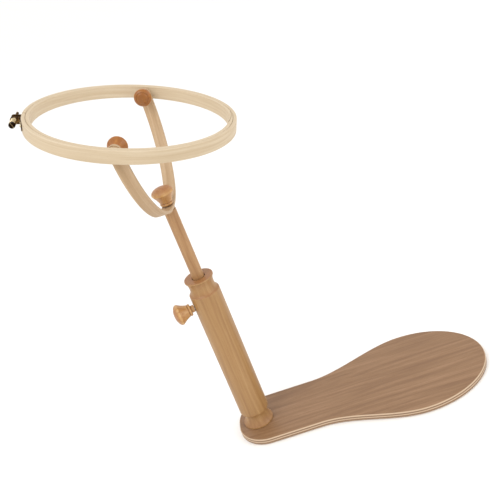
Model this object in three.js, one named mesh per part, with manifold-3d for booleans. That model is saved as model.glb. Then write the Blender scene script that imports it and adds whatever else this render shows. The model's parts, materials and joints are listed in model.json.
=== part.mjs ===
/**
 * Embroidery hoop on a sit-on stand.
 *
 * Millimetres, +Z up. The origin is on the underside of the board, under the column's axis.
 * +X runs along the board to its wide end, which the person sits on. The column stands on the
 * narrow end, a rod slides in it, and a bent yoke on the rod carries the hoop.
 */
import * as THREE from 'three';
import { mergeVertices } from 'three/addons/utils/BufferGeometryUtils.js';
import Module from 'manifold-3d';

const wasm = await Module();
wasm.setup();

// ---------------------------------------------------------------- driving dimensions

const clearance = 0.3; // between pieces that touch, and around studs, bolts and inserts
const rodClearance = 0.4; // around the rod in the column

const board = {
  thickness: 10,
  edgeRadius: 2,
  neckHalfWidth: 51,
  neckEnd: 31.5, // from the column's axis back to the end of the neck
  neckCornerRadius: 46,
  flareStart: 92, // the sides leave the neck here
  flareEnd: 243, // and reach the full width here
  paddleHalfWidth: 89,
  paddleEndLength: 110, // from the full width to the tip
};

const column = {
  length: 264,
  radius: 22,
  footRadius: 23.5,
  footHeight: 2.5,
  lipRadius: 20.8,
  lipHeight: 3,
  lipStep: 0.9,
  coveRadius: 16.4, // the radius that both coves are drawn towards
  coveLength: 22.5,
  shoulderRadius: 2.4,
  boreDepth: 215,
  boreChamfer: 0.8,
};

const rod = {
  radius: 8.5,
  shown: 106.6, // above the column at rest
  inserted: 120, // inside the column at rest
  edge: 1,
};

const yoke = {
  depth: 123.4, // from the pivots down to the middle of the bend
  flat: 4, // half the flat stretch under the knob
  bottomFullness: 0.55, // how far the bend stays level before it turns up, as a share
  sideFullness: 0.48, // how far the arms stay upright below the pivots, as a share
  width: 16.5,
  thickness: 4,
};

const hoop = {
  height: 16,
  innerRadius: 120.5,
  innerWall: 4.6,
  outerWall: 4.6,
  edge: 0.8,
  swivel: -5.9, // degrees that the yoke is turned about the rod at rest
  tilt: 21.5, // degrees that the hoop leans towards the sitter at rest
};

const bigKnob = {
  headRadius: 15,
  neckRadius: 5.2,
  neckLength: 4.6,
  beadRadius: 9,
  beadLength: 4.4,
  waistRadius: 8,
  taperLength: 12.4,
  rimHeight: 1.6,
  domeHeight: 7,
};

const yokeKnob = { ...bigKnob, neckLength: 1 };

const sideKnob = {
  headRadius: 12,
  neckRadius: 4.8,
  neckLength: 1,
  beadRadius: 7.4,
  beadLength: 3.4,
  waistRadius: 6.4,
  taperLength: 9.4,
  rimHeight: 1.3,
  domeHeight: 5.4,
};

const thumb = {
  belowTop: 42, // from the column's top down to the thumb screw's axis
  azimuth: 194, // degrees from +X
  studRadius: 2.9,
  studGrip: 14, // length of stud inside the knob
  insertWall: 1.6,
  insertDepth: 1, // below the column's surface
  insertSetback: 2, // from the rod's bore
};

const rodStud = {
  radius: 2.9,
  embedded: 26, // in the rod
  shown: 20, // above the yoke, inside the knob
};

const sideBolt = {
  headRadius: 3.7,
  headHeight: 2,
  shankRadius: 1.9,
  recess: 0.5, // of the head below the ring's outer face
  grip: 13, // length of bolt inside the knob
};

const knobInsert = {
  wall: 0.9,
  length: 9,
  depth: 0.6, // below the neck's end
};

const washer = { radius: 8, thickness: 1.5 };
const spacer = { radius: 7, thickness: 6 };

const footScrew = {
  headRadius: 4,
  headHeight: 2.2,
  shankRadius: 2,
  length: 34,
  tipLength: 5,
  recess: 0.6,
  spread: 11, // from the column's axis
  slotWidth: 0.9,
  slotDepth: 1.1,
};

const tension = {
  angle: 188.5, // degrees round the hoop to the split
  splitWidth: 2.6,
  earGap: 9,
  plateThickness: 0.9,
  plateHeight: 9,
  plateLength: 30,
  earLength: 13.6,
  screwRadius: 1.7,
  screwReach: 9, // from the ring's outer face to the screw's axis
  headRadius: 4,
  headLength: 18,
  headGrooves: 4,
  grooveDepth: 0.5,
  slotWidth: 1.1,
  slotDepth: 1.6,
  tipLength: 15.6, // beyond the nut
  nutWidth: 7,
  nutThickness: 3,
  pinRadius: 1,
  pinHeadRadius: 2,
  pinHeadHeight: 0.9,
  pinCrown: 0.8, // radius at which the head's dome starts, as a share of its radius
  pinShoulder: 0.7, // height at which it starts, as a share of the head's height
  pinDepth: 2.6, // in the ring
  pinSpacing: 12,
};

const segments = { ring: 72, column: 30, knob: 22, rod: 24, small: 12 };
const curveSteps = { board: 10, yoke: 26, column: 4, knob: 3 };

// ---------------------------------------------------------------- derived places

const degrees = Math.PI / 180;
const columnTop = board.thickness + column.length;
const boreRadius = rod.radius + rodClearance;
const rodTop = columnTop + rod.shown;
const rodBottom = columnTop - rod.inserted;
const washerBottom = rodTop + clearance;
const yokeBottom = washerBottom + washer.thickness + clearance;
const hoopCentre = yokeBottom + yoke.thickness / 2 + yoke.depth;
const yokeFloor = yokeBottom + yoke.thickness;
const spacerOuter = hoop.innerRadius * Math.cos(Math.PI / segments.ring) - clearance;
const spacerInner = spacerOuter - spacer.thickness;
const armOuter = spacerInner - clearance;
const armInner = armOuter - yoke.thickness;
const innerRingOuter = hoop.innerRadius + hoop.innerWall;
const outerRingInner = innerRingOuter + clearance;
const outerRingOuter = outerRingInner + hoop.outerWall;
const thumbHeight = columnTop - thumb.belowTop;
const screwAxis = outerRingOuter + tension.screwReach;
const plateInner = outerRingOuter + clearance;
const plateOuter = plateInner + tension.plateThickness;
const insertOuter = thumb.studRadius + clearance + thumb.insertWall;
const knobInsertOuter = sideBolt.shankRadius + clearance + knobInsert.wall;
const yokeInsertOuter = rodStud.radius + clearance + knobInsert.wall;
const overshoot = 5; // how far cutting tools pass through a face

// ---------------------------------------------------------------- materials

/** A plain coloured surface. */
function surface(color, roughness, metalness = 0) {
  return new THREE.MeshStandardMaterial({ color, roughness, metalness });
}

const paleBeech = () => surface(0xe3cda6, 0.55);
const yokeBeech = () => surface(0xd2b48c, 0.55);
const rodBeech = () => surface(0xc89c6a, 0.5);
const columnBeech = () => surface(0xc4965f, 0.5);
const boardBeech = () => surface(0xab835c, 0.6);
const knobBeech = () => surface(0xca9057, 0.5);
const brass = () => surface(0x9a7440, 0.35, 1);
const steel = () => surface(0x9a9a9a, 0.35, 1);

// ---------------------------------------------------------------- solids

/** Turns a closed geometry into a solid: welds its corners and drops its empty triangles. */
function solid(geometry) {
  geometry.deleteAttribute('normal');
  geometry.deleteAttribute('uv');
  const welded = mergeVertices(geometry);
  const corners = welded.index.array;
  const kept = [];
  for (let i = 0; i < corners.length; i += 3) {
    const [a, b, c] = corners.slice(i, i + 3);
    if (a !== b && b !== c && c !== a) kept.push(a, b, c);
  }
  const vertProperties = welded.attributes.position.array;
  const triVerts = new Uint32Array(kept);
  return new wasm.Manifold(new wasm.Mesh({ numProp: 3, vertProperties, triVerts }));
}

/** Adds a named mesh of one solid to a group. */
function addPiece(group, name, body, material) {
  const { vertProperties, triVerts } = body.getMesh();
  const geometry = new THREE.BufferGeometry();
  geometry.setAttribute('position', new THREE.BufferAttribute(vertProperties, 3));
  geometry.setIndex(new THREE.BufferAttribute(triVerts, 1));
  geometry.computeVertexNormals();
  const mesh = new THREE.Mesh(geometry, material);
  mesh.name = name;
  group.add(mesh);
}

/** Adds an empty group, moved up and turned about one axis. */
function addGroup(parent, height, axis, angle) {
  const group = new THREE.Group();
  group.position.z = height;
  group.rotation[axis] = angle * degrees;
  parent.add(group);
  return group;
}

/** Revolves a profile of [radius, height] pairs about Z, walked up the outside. */
function turned(profile, steps) {
  const points = profile.map(([radius, height]) => new THREE.Vector2(radius, height));
  return new THREE.LatheGeometry(points, steps).rotateX(90 * degrees);
}

/** Revolves a path about Z. */
function turnedPath(path, divisions, steps) {
  return new THREE.LatheGeometry(path.getPoints(divisions), steps).rotateX(90 * degrees);
}

/** A cylinder along Z between two heights. */
function cylinder(radius, bottom, top, steps = segments.small) {
  return turned([[0, bottom], [radius, bottom], [radius, top], [0, top]], steps);
}

/** A tube along Z between two heights. */
function tube(inner, outer, bottom, top, steps = segments.small) {
  const profile = [[inner, bottom], [outer, bottom], [outer, top], [inner, top], [inner, bottom]];
  return turned(profile, steps);
}

/** A box by its three sizes, round a centre. */
function box(size, centre) {
  return new THREE.BoxGeometry(...size).translate(...centre);
}

/** Points a shape drawn along +Z along -Y instead. */
function alongMinusY(geometry) {
  return geometry.rotateX(90 * degrees);
}

/** Points a shape drawn along +Z along +Y instead. */
function alongY(geometry) {
  return geometry.rotateX(-90 * degrees);
}

/** Points a shape drawn along +Z along +X instead. */
function alongX(geometry) {
  return geometry.rotateY(90 * degrees);
}

/** Turns a drawing in (x, y), extruded along z, to lie in (Y, Z) and run along X. */
function standUp(geometry) {
  const axes = [new THREE.Vector3(0, 1, 0), new THREE.Vector3(0, 0, 1), new THREE.Vector3(1, 0, 0)];
  return geometry.applyMatrix4(new THREE.Matrix4().makeBasis(...axes));
}

/** A flat shape extruded by a depth, centred on its own plane. */
function plate(shape, depth, curveSegments = segments.small) {
  const geometry = new THREE.ExtrudeGeometry(shape, { depth, bevelEnabled: false, curveSegments });
  return geometry.translate(0, 0, -depth / 2);
}

/** Profile of a countersunk fastener with its head at 0, or of its hole when gap is over 0. */
function countersunk(fastener, length, gap = 0) {
  const relief = gap > 0 ? overshoot : 0;
  return [
    [0, -relief],
    [fastener.headRadius + gap, -relief],
    [fastener.headRadius + gap, 0],
    [fastener.shankRadius + gap, fastener.headHeight],
    [fastener.shankRadius + gap, length + gap],
    [0, length + gap],
  ];
}

// ---------------------------------------------------------------- board

/** The paddle's outline: a neck with a round end, an S-shaped flare and an oval end. */
function boardOutline() {
  const corner = Math.min(board.neckCornerRadius, board.neckHalfWidth - clearance);
  const cornerX = corner - board.neckEnd;
  const cornerY = board.neckHalfWidth - corner;
  const { flareStart, flareEnd, neckHalfWidth: neck, paddleHalfWidth: full } = board;
  const third = (flareEnd - flareStart) / 3;
  const shape = new THREE.Shape();
  shape.moveTo(cornerX, -neck);
  shape.lineTo(flareStart, -neck);
  shape.bezierCurveTo(flareStart + third, -neck, flareEnd - third, -full, flareEnd, -full);
  shape.absellipse(flareEnd, 0, board.paddleEndLength, full, -Math.PI / 2, Math.PI / 2);
  shape.bezierCurveTo(flareEnd - third, full, flareStart + third, neck, flareStart, neck);
  shape.lineTo(cornerX, neck);
  shape.absarc(cornerX, cornerY, corner, Math.PI / 2, Math.PI);
  shape.absarc(cornerX, -cornerY, corner, Math.PI, 1.5 * Math.PI);
  return shape;
}

/** The hole of one foot screw, through the board and up into the column. */
function footScrewHole(x) {
  const profile = countersunk(footScrew, footScrew.length, clearance);
  return solid(turned(profile, segments.small).translate(x, 0, footScrew.recess));
}

/** The board with rounded edges and two countersunk holes. */
function baseBoard() {
  const edge = board.edgeRadius;
  const settings = {
    depth: board.thickness - 2 * edge,
    bevelThickness: edge,
    bevelSize: edge,
    bevelOffset: -edge,
    bevelSegments: 2,
    curveSegments: curveSteps.board,
  };
  const slab = solid(new THREE.ExtrudeGeometry(boardOutline(), settings).translate(0, 0, edge));
  return slab.subtract(footScrewHole(-footScrew.spread)).subtract(footScrewHole(footScrew.spread));
}

/** A countersunk wood screw, point up, with a cross in its head. */
function woodScrew(x) {
  const { headRadius, slotWidth, slotDepth, tipLength, length } = footScrew;
  const profile = countersunk(footScrew, length - tipLength);
  profile[profile.length - 1] = [0, length];
  const body = solid(turned(profile, segments.small));
  const slot = solid(box([headRadius, slotWidth, 2 * slotDepth], [0, 0, 0]));
  const cross = slot.add(solid(box([slotWidth, headRadius, 2 * slotDepth], [0, 0, 0])));
  return body.subtract(cross).translate([x, 0, footScrew.recess]);
}

// ---------------------------------------------------------------- column and rod

/** The column's profile: foot, cove, straight body, cove, lip, and the bore down the middle. */
function columnProfile() {
  const { length, radius, footRadius, footHeight, coveRadius, coveLength } = column;
  const { shoulderRadius: round, lipRadius, lipHeight, lipStep, boreChamfer } = column;
  const lowShoulder = coveLength;
  const topShoulder = length - coveLength;
  const path = new THREE.Path();
  path.moveTo(0, 0);
  path.lineTo(footRadius, 0);
  path.lineTo(footRadius, footHeight);
  path.bezierCurveTo(coveRadius, coveLength / 2, coveRadius, lowShoulder, radius - round, lowShoulder);
  path.quadraticCurveTo(radius, lowShoulder, radius, lowShoulder + round);
  path.lineTo(radius, topShoulder - round);
  path.quadraticCurveTo(radius, topShoulder, radius - round, topShoulder);
  const lipBottom = length - lipHeight;
  const coveMiddle = length - coveLength / 2;
  path.bezierCurveTo(coveRadius, topShoulder, coveRadius, coveMiddle, lipRadius - lipStep, lipBottom);
  path.lineTo(lipRadius, lipBottom);
  path.lineTo(lipRadius, length - boreChamfer);
  path.lineTo(lipRadius - boreChamfer, length);
  path.lineTo(boreRadius + boreChamfer, length);
  path.lineTo(boreRadius, length - boreChamfer);
  path.lineTo(boreRadius, length - column.boreDepth);
  path.lineTo(0, length - column.boreDepth);
  return path;
}

/** The turned column, bored for the rod, the thumb screw's insert and the foot screws. */
function turnedColumn() {
  const post = turnedPath(columnProfile(), curveSteps.column, segments.column);
  const insertHole = alongX(cylinder(insertOuter + clearance, 0, column.radius + overshoot));
  insertHole.rotateZ(thumb.azimuth * degrees).translate(0, 0, thumbHeight);
  return solid(post.translate(0, 0, board.thickness))
    .subtract(solid(insertHole))
    .subtract(footScrewHole(-footScrew.spread))
    .subtract(footScrewHole(footScrew.spread));
}

/** The sliding rod, with the hanger bolt's hole in its top. */
function slidingRod() {
  const { radius, edge } = rod;
  const profile = [
    [0, rodBottom],
    [radius - edge, rodBottom],
    [radius, rodBottom + edge],
    [radius, rodTop - edge],
    [radius - edge, rodTop],
    [0, rodTop],
  ];
  const studHole = cylinder(rodStud.radius + clearance, studBottom() - clearance, rodTop + overshoot);
  return solid(turned(profile, segments.rod)).subtract(solid(studHole));
}

/** Height of the hanger bolt's lower end. */
function studBottom() {
  return rodTop - rodStud.embedded;
}

/** The hanger bolt that stands in the rod and carries the yoke's knob. */
function hangerBolt() {
  const top = yokeFloor + rodStud.shown;
  const { radius } = rodStud;
  const profile = [
    [0, studBottom()],
    [radius / 2, studBottom()],
    [radius, studBottom() + radius],
    [radius, top - radius / 2],
    [radius / 2, top],
    [0, top],
  ];
  return solid(turned(profile, segments.small));
}

// ---------------------------------------------------------------- knobs

/** Height of the lower edge of a knob's rim above the end of its neck. */
function rimBottom(knob) {
  return knob.neckLength + knob.beadLength + knob.taperLength;
}

/** A turned knob standing on its neck at 0, with a blind bore up its neck. */
function turnedKnob(knob, knobBore, boreDepth) {
  const bead = knob.beadLength / 2;
  const beadMiddle = knob.neckLength + bead;
  const waist = knob.neckLength + knob.beadLength;
  const rim = rimBottom(knob);
  const domeBottom = rim + knob.rimHeight;
  const path = new THREE.Path();
  path.moveTo(0, boreDepth);
  path.lineTo(knobBore, boreDepth);
  path.lineTo(knobBore, 0);
  path.lineTo(knob.neckRadius, 0);
  path.lineTo(knob.neckRadius, knob.neckLength);
  path.absarc(knob.beadRadius - bead, beadMiddle, bead, -Math.PI / 2, Math.PI / 2);
  path.lineTo(knob.waistRadius, waist);
  path.quadraticCurveTo(knob.waistRadius, (waist + 2 * rim) / 3, knob.headRadius, rim);
  path.lineTo(knob.headRadius, domeBottom);
  path.absellipse(0, domeBottom, knob.headRadius, knob.domeHeight, 0, Math.PI / 2);
  return turnedPath(path, curveSteps.knob, segments.knob);
}

/** A threaded insert that sits in a knob's bore, just above the end of the neck. */
function insertTube(stud, outer) {
  return tube(stud + clearance, outer, knobInsert.depth, knobInsert.depth + knobInsert.length);
}

// ---------------------------------------------------------------- yoke

/** Side view of the bent strip: two straight tabs and a half-oval with a flat bottom. */
function yokeOutline() {
  const top = yoke.width / 2;
  const half = yoke.thickness / 2;
  const { flat, sideFullness: side } = yoke;
  const reach = (span) => flat + yoke.bottomFullness * (span - flat);
  const [outer, low] = [armOuter, -yoke.depth - half];
  const [inner, floor] = [armInner, half - yoke.depth];
  const shape = new THREE.Shape();
  shape.moveTo(-outer, top);
  shape.lineTo(-outer, 0);
  shape.bezierCurveTo(-outer, side * low, -reach(outer), low, -flat, low);
  shape.lineTo(flat, low);
  shape.bezierCurveTo(reach(outer), low, outer, side * low, outer, 0);
  shape.lineTo(outer, top);
  shape.lineTo(inner, top);
  shape.lineTo(inner, 0);
  shape.bezierCurveTo(inner, side * floor, reach(inner), floor, flat, floor);
  shape.lineTo(-flat, floor);
  shape.bezierCurveTo(-reach(inner), floor, -inner, side * floor, -inner, 0);
  shape.lineTo(-inner, top);
  return shape;
}

/** Front view of the strip: straight sides and a round top, as wide as the hoop is high. */
function yokeFront() {
  const half = yoke.width / 2;
  const bottom = -(yoke.depth + yoke.thickness);
  const shape = new THREE.Shape();
  shape.moveTo(-half, bottom);
  shape.lineTo(half, bottom);
  shape.lineTo(half, 0);
  shape.absarc(0, 0, half, 0, Math.PI);
  return shape;
}

/** The bent yoke about the hoop's centre, with a hole at each pivot and one in the bend. */
function bentYoke() {
  const strip = solid(standUp(plate(yokeOutline(), yoke.width, curveSteps.yoke)));
  const reach = 2 * (armOuter + overshoot);
  const front = solid(alongY(plate(yokeFront(), reach).rotateZ(180 * degrees)));
  const pivotHole = cylinder(sideBolt.shankRadius + clearance, -reach / 2, reach / 2);
  const knobHole = cylinder(rodStud.radius + clearance, -yoke.depth - overshoot, overshoot - yoke.depth);
  return strip.intersect(front).subtract(solid(alongY(pivotHole))).subtract(solid(knobHole));
}

// ---------------------------------------------------------------- hoop

/** A hoop ring with eased edges, centred on its own middle plane. */
function ring(inner, outer) {
  const half = hoop.height / 2;
  const { edge } = hoop;
  const profile = [
    [inner, edge - half],
    [inner + edge, -half],
    [outer - edge, -half],
    [outer, edge - half],
    [outer, half - edge],
    [outer - edge, half],
    [inner + edge, half],
    [inner, half - edge],
    [inner, edge - half],
  ];
  return solid(turned(profile, segments.ring));
}

/** Length of a side bolt from its head to its end in the knob. */
function sideBoltLength() {
  return innerRingOuter - sideBolt.recess - (armInner - clearance - sideBolt.grip);
}

/** A side bolt, or its hole, on the +Y side of the hoop and pointing to its centre. */
function sideBoltShape(gap = 0) {
  const profile = countersunk(sideBolt, sideBoltLength(), gap);
  return alongMinusY(turned(profile, segments.small)).translate(0, innerRingOuter - sideBolt.recess, 0);
}

/** The inner ring, with a countersunk hole at each pivot. */
function innerRing() {
  const farHole = solid(sideBoltShape(clearance));
  const nearHole = solid(sideBoltShape(clearance).rotateZ(Math.PI));
  return ring(hoop.innerRadius, innerRingOuter).subtract(farHole).subtract(nearHole);
}

/** Angles of the bracket pins either side of the split, in radians. */
function pinAngles() {
  const first = (tension.earGap + tension.plateLength - tension.pinSpacing) / 2 / outerRingOuter;
  const second = first + tension.pinSpacing / outerRingOuter;
  return [-second, -first, first, second];
}

/** The outer ring with its split on +X and a blind hole for each bracket pin. */
function outerRing() {
  const middle = (outerRingInner + outerRingOuter) / 2;
  const split = box([2 * hoop.outerWall, tension.splitWidth, 2 * hoop.height], [middle, 0, 0]);
  let body = ring(outerRingInner, outerRingOuter).subtract(solid(split));
  const holeFloor = outerRingOuter - tension.pinDepth - clearance;
  for (const angle of pinAngles()) {
    const hole = cylinder(tension.pinRadius + clearance, holeFloor, outerRingOuter + overshoot);
    body = body.subtract(solid(alongX(hole).rotateZ(angle)));
  }
  return body;
}

// ---------------------------------------------------------------- tensioner, split on +X

/** Seen along the hoop's axis: a plate that follows the ring, and an ear that stands out. */
function bracketOutline() {
  const near = tension.earGap / 2;
  const far = near + tension.plateThickness;
  const tip = plateInner + tension.earLength;
  const start = Math.asin(near / plateInner);
  const bend = Math.asin(far / plateOuter);
  const end = start + tension.plateLength / plateInner;
  const shape = new THREE.Shape();
  shape.moveTo(tip, far);
  shape.lineTo(tip, near);
  shape.absarc(0, 0, plateInner, start, end);
  shape.absarc(0, 0, plateOuter, end, bend, true);
  return shape;
}

/** The bracket on the side of +Y, with holes for the tension screw and its two pins. */
function tensionBracket() {
  let body = solid(plate(bracketOutline(), tension.plateHeight));
  const screwHole = cylinder(tension.screwRadius + clearance, 0, tension.earGap);
  body = body.subtract(solid(alongY(screwHole).translate(screwAxis, 0, 0)));
  for (const angle of pinAngles().filter((value) => value > 0)) {
    const hole = cylinder(tension.pinRadius + clearance, outerRingInner, plateOuter + overshoot);
    body = body.subtract(solid(alongX(hole).rotateZ(angle)));
  }
  return body;
}

/** A pin with a low domed head, driven into the ring at an angle round it. */
function bracketPin(angle) {
  const seat = plateOuter + clearance / 2;
  const { pinRadius, pinHeadRadius, pinHeadHeight } = tension;
  const profile = [
    [0, outerRingOuter - tension.pinDepth],
    [pinRadius, outerRingOuter - tension.pinDepth],
    [pinRadius, seat],
    [pinHeadRadius, seat],
    [pinHeadRadius * tension.pinCrown, seat + pinHeadHeight * tension.pinShoulder],
    [0, seat + pinHeadHeight],
  ];
  return solid(alongX(turned(profile, segments.small)).rotateZ(angle));
}

/** The tension screw: a long grooved head on the side of +Y, and a shank through both ears. */
function tensionScrew() {
  const { headRadius, headLength, headGrooves, grooveDepth, screwRadius } = tension;
  const seat = tension.earGap / 2 + tension.plateThickness + clearance;
  const tip = -(nutFace() + tension.nutThickness + tension.tipLength);
  const pitch = headLength / (headGrooves + 1);
  const profile = [[0, tip], [screwRadius, tip], [screwRadius, seat], [headRadius, seat]];
  for (let groove = 1; groove <= headGrooves; groove += 1) {
    const middle = seat + groove * pitch;
    profile.push([headRadius, middle - grooveDepth]);
    profile.push([headRadius - grooveDepth, middle]);
    profile.push([headRadius, middle + grooveDepth]);
  }
  const end = seat + headLength;
  profile.push([headRadius, end - grooveDepth], [headRadius - grooveDepth, end], [0, end]);
  const body = solid(alongY(turned(profile, segments.small)));
  const slot = box([tension.slotWidth, 2 * tension.slotDepth, 3 * headRadius], [0, end, 0]);
  return body.subtract(solid(slot)).translate([screwAxis, 0, 0]);
}

/** Distance from the split to the face of the nut, behind the far ear. */
function nutFace() {
  return tension.earGap / 2 + tension.plateThickness + clearance;
}

/** The square nut behind the far ear. */
function tensionNut() {
  const half = tension.nutWidth / 2;
  const shape = new THREE.Shape();
  shape.moveTo(-half, -half);
  shape.lineTo(half, -half);
  shape.lineTo(half, half);
  shape.lineTo(-half, half);
  shape.holes.push(new THREE.Path().absarc(0, 0, tension.screwRadius + clearance, 0, 2 * Math.PI));
  const middle = -(nutFace() + tension.nutThickness / 2);
  return solid(alongY(plate(shape, tension.nutThickness)).translate(screwAxis, middle, 0));
}

// ---------------------------------------------------------------- assembly

/** The board, the column and the screws between them. */
function addBase(root) {
  addPiece(root, 'base_board', baseBoard(), boardBeech());
  addPiece(root, 'column', turnedColumn(), columnBeech());
  addPiece(root, 'foot_screw_back', woodScrew(-footScrew.spread), steel());
  addPiece(root, 'foot_screw_front', woodScrew(footScrew.spread), steel());
}

/** The thumb knob, its stud, and the insert that the stud runs in. */
function addThumbScrew(root) {
  const group = addGroup(root, thumbHeight, 'z', thumb.azimuth);
  const insertEnd = column.radius - thumb.insertDepth;
  const insertStart = boreRadius + thumb.insertSetback;
  const insert = tube(thumb.studRadius + clearance, insertOuter, insertStart, insertEnd);
  addPiece(group, 'thumb_insert', solid(alongX(insert)), brass());
  const neck = column.radius + clearance;
  const boreDepth = thumb.studGrip + clearance;
  const knob = alongX(turnedKnob(bigKnob, thumb.studRadius + clearance, boreDepth));
  addPiece(group, 'thumb_knob', solid(knob.translate(neck, 0, 0)), knobBeech());
  const stud = alongX(cylinder(thumb.studRadius, rod.radius + clearance, neck + thumb.studGrip));
  addPiece(group, 'thumb_stud', solid(stud), steel());
}

/** The rod with its hanger bolt and washer, and the knob that clamps the yoke. */
function addRod(root) {
  addPiece(root, 'rod', slidingRod(), rodBeech());
  addPiece(root, 'rod_stud', hangerBolt(), steel());
  const washerTop = washerBottom + washer.thickness;
  const disc = tube(rodStud.radius + clearance, washer.radius, washerBottom, washerTop, segments.rod);
  addPiece(root, 'yoke_washer', solid(disc), yokeBeech());
  const neck = yokeFloor + clearance;
  const boreDepth = rodStud.shown + clearance;
  const knob = turnedKnob(yokeKnob, yokeInsertOuter + clearance, boreDepth);
  addPiece(root, 'yoke_knob', solid(knob.translate(0, 0, neck)), knobBeech());
  const insert = insertTube(rodStud.radius, yokeInsertOuter).translate(0, 0, neck);
  addPiece(root, 'yoke_knob_insert', solid(insert), brass());
}

/** One pivot of the hoop: bolt, spacer, knob and insert, on the +Y side of a group. */
function addPivot(hoopGroup, side, angle) {
  const group = addGroup(hoopGroup, 0, 'z', angle);
  addPiece(group, `pivot_bolt_${side}`, solid(sideBoltShape()), steel());
  const spacerTube = tube(sideBolt.shankRadius + clearance, spacer.radius, spacerInner, spacerOuter);
  addPiece(group, `pivot_spacer_${side}`, solid(alongY(spacerTube)), yokeBeech());
  const neck = armInner - clearance;
  const knob = turnedKnob(sideKnob, knobInsertOuter + clearance, sideBolt.grip + clearance);
  addPiece(group, `pivot_knob_${side}`, solid(alongMinusY(knob).translate(0, neck, 0)), knobBeech());
  const insert = alongMinusY(insertTube(sideBolt.shankRadius, knobInsertOuter)).translate(0, neck, 0);
  addPiece(group, `pivot_knob_insert_${side}`, solid(insert), brass());
}

/** The outer ring and everything that is fixed to it or runs in it. */
function addOuterRing(hoopGroup) {
  const group = addGroup(hoopGroup, 0, 'z', tension.angle);
  addPiece(group, 'outer_ring', outerRing(), paleBeech());
  addPiece(group, 'tension_bracket_near', tensionBracket(), brass());
  addPiece(group, 'tension_bracket_far', tensionBracket().mirror([0, 1, 0]), brass());
  pinAngles().forEach((angle, index) => {
    addPiece(group, `bracket_pin_${index + 1}`, bracketPin(angle), brass());
  });
  addPiece(group, 'tension_screw', tensionScrew(), brass());
  addPiece(group, 'tension_nut', tensionNut(), brass());
}

const stand = new THREE.Group();
addBase(stand);
addThumbScrew(stand);
addRod(stand);
const yokeGroup = addGroup(stand, hoopCentre, 'z', hoop.swivel);
addPiece(yokeGroup, 'yoke', bentYoke(), yokeBeech());
const hoopGroup = addGroup(yokeGroup, 0, 'y', hoop.tilt);
addPiece(hoopGroup, 'inner_ring', innerRing(), paleBeech());
addPivot(hoopGroup, 'far', 0);
addPivot(hoopGroup, 'near', 180);
addOuterRing(hoopGroup);

export default stand;
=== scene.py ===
# %% [markdown]
# # An embroidery hoop on a sit-on stand
#
# A wooden hoop leans in a bent beech yoke. The yoke stands on a rod, the rod slides in a turned
# column, and the column is screwed to a plywood paddle that the sewer sits on.
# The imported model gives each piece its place, its size and the way it moves. This lesson builds the
# visible wood and metal around it, one piece at a time.

# %% Load the frame and keep its box
import json
import math

import bmesh
import bpy
from mathutils import Matrix, Vector


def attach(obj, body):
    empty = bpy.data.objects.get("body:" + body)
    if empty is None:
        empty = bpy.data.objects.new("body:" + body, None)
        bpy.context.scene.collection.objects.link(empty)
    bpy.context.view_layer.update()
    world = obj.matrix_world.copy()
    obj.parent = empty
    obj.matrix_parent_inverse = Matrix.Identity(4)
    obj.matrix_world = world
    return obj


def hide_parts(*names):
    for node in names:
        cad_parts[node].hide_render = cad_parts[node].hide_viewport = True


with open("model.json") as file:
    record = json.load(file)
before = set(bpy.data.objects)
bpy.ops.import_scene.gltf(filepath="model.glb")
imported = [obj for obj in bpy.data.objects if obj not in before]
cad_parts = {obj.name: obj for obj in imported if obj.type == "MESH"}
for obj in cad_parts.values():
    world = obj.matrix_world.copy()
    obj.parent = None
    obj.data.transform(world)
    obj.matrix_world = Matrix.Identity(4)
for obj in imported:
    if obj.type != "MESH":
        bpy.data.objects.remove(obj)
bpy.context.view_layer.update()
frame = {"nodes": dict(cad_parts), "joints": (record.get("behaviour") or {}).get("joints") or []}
nodes = frame["nodes"]
joints = {joint["name"]: joint for joint in frame["joints"]}
scene = bpy.context.scene
MM = 0.001
print("pieces in the frame:", len(nodes), "- joints:", ", ".join(joints))

# %% [markdown]
# ## Frames of reference
#
# The hoop leans, the yoke is turned on its rod, and the thumb screw points sideways. Modelling each
# piece upright in its own frame and placing it with one matrix is easier than drawing it tilted.
# The joints say where those frames are: a hinge has a point and an axis.

# %% Local frames from the joints


def frame_matrix(origin, x_axis, y_axis, z_axis):
    """Turns three axes and an origin into a placing matrix, in metres."""
    matrix = Matrix((x_axis, y_axis, z_axis)).transposed().to_4x4()
    matrix.translation = Vector(origin)
    return matrix


UP = Vector((0, 0, 1))
hoop_centre = Vector(joints["hoop_tilt"]["pos_m"])
pivot_axis = Vector(joints["hoop_tilt"]["axis"]).normalized()
hoop_normal = Vector(joints["ring_lift"]["axis"]).normalized()
split_side = Vector(joints["tension_turn"]["axis"]).normalized()
thumb_axis = Vector(joints["thumb_turn"]["axis"]).normalized()

hoop_frame = frame_matrix(hoop_centre, pivot_axis.cross(hoop_normal), pivot_axis, hoop_normal)
yoke_frame = frame_matrix(hoop_centre, pivot_axis.cross(UP), pivot_axis, UP)
split_frame = frame_matrix(hoop_centre, split_side.cross(hoop_normal), split_side, hoop_normal)
thumb_frame = frame_matrix(joints["thumb_turn"]["pos_m"], UP.cross(thumb_axis), UP, thumb_axis)
stand_frame = Matrix.Identity(4)
print("hoop centre", [round(value / MM, 1) for value in hoop_centre], "mm")

# %% [markdown]
# ## Measuring the frame
#
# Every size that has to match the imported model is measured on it, in millimetres and in the frame
# that suits the piece. A revolved piece is measured by its radius, a strip by its lowest and
# highest corner.

# %% Measure a node in a local frame


def corners(node, placing):
    """Lowest and highest corner of a node in a local frame, in millimetres."""
    inverse = placing.inverted()
    points = [inverse @ vertex.co / MM for vertex in nodes[node].data.vertices]
    return [Vector(pick(point[axis] for point in points) for axis in range(3)) for pick in (min, max)]


def radii(node, placing):
    """Smallest and largest distance of a node from the local Z axis, in millimetres."""
    inverse = placing.inverted()
    reach = [(inverse @ vertex.co).xy.length / MM for vertex in nodes[node].data.vertices]
    return min(reach), max(reach)


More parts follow.
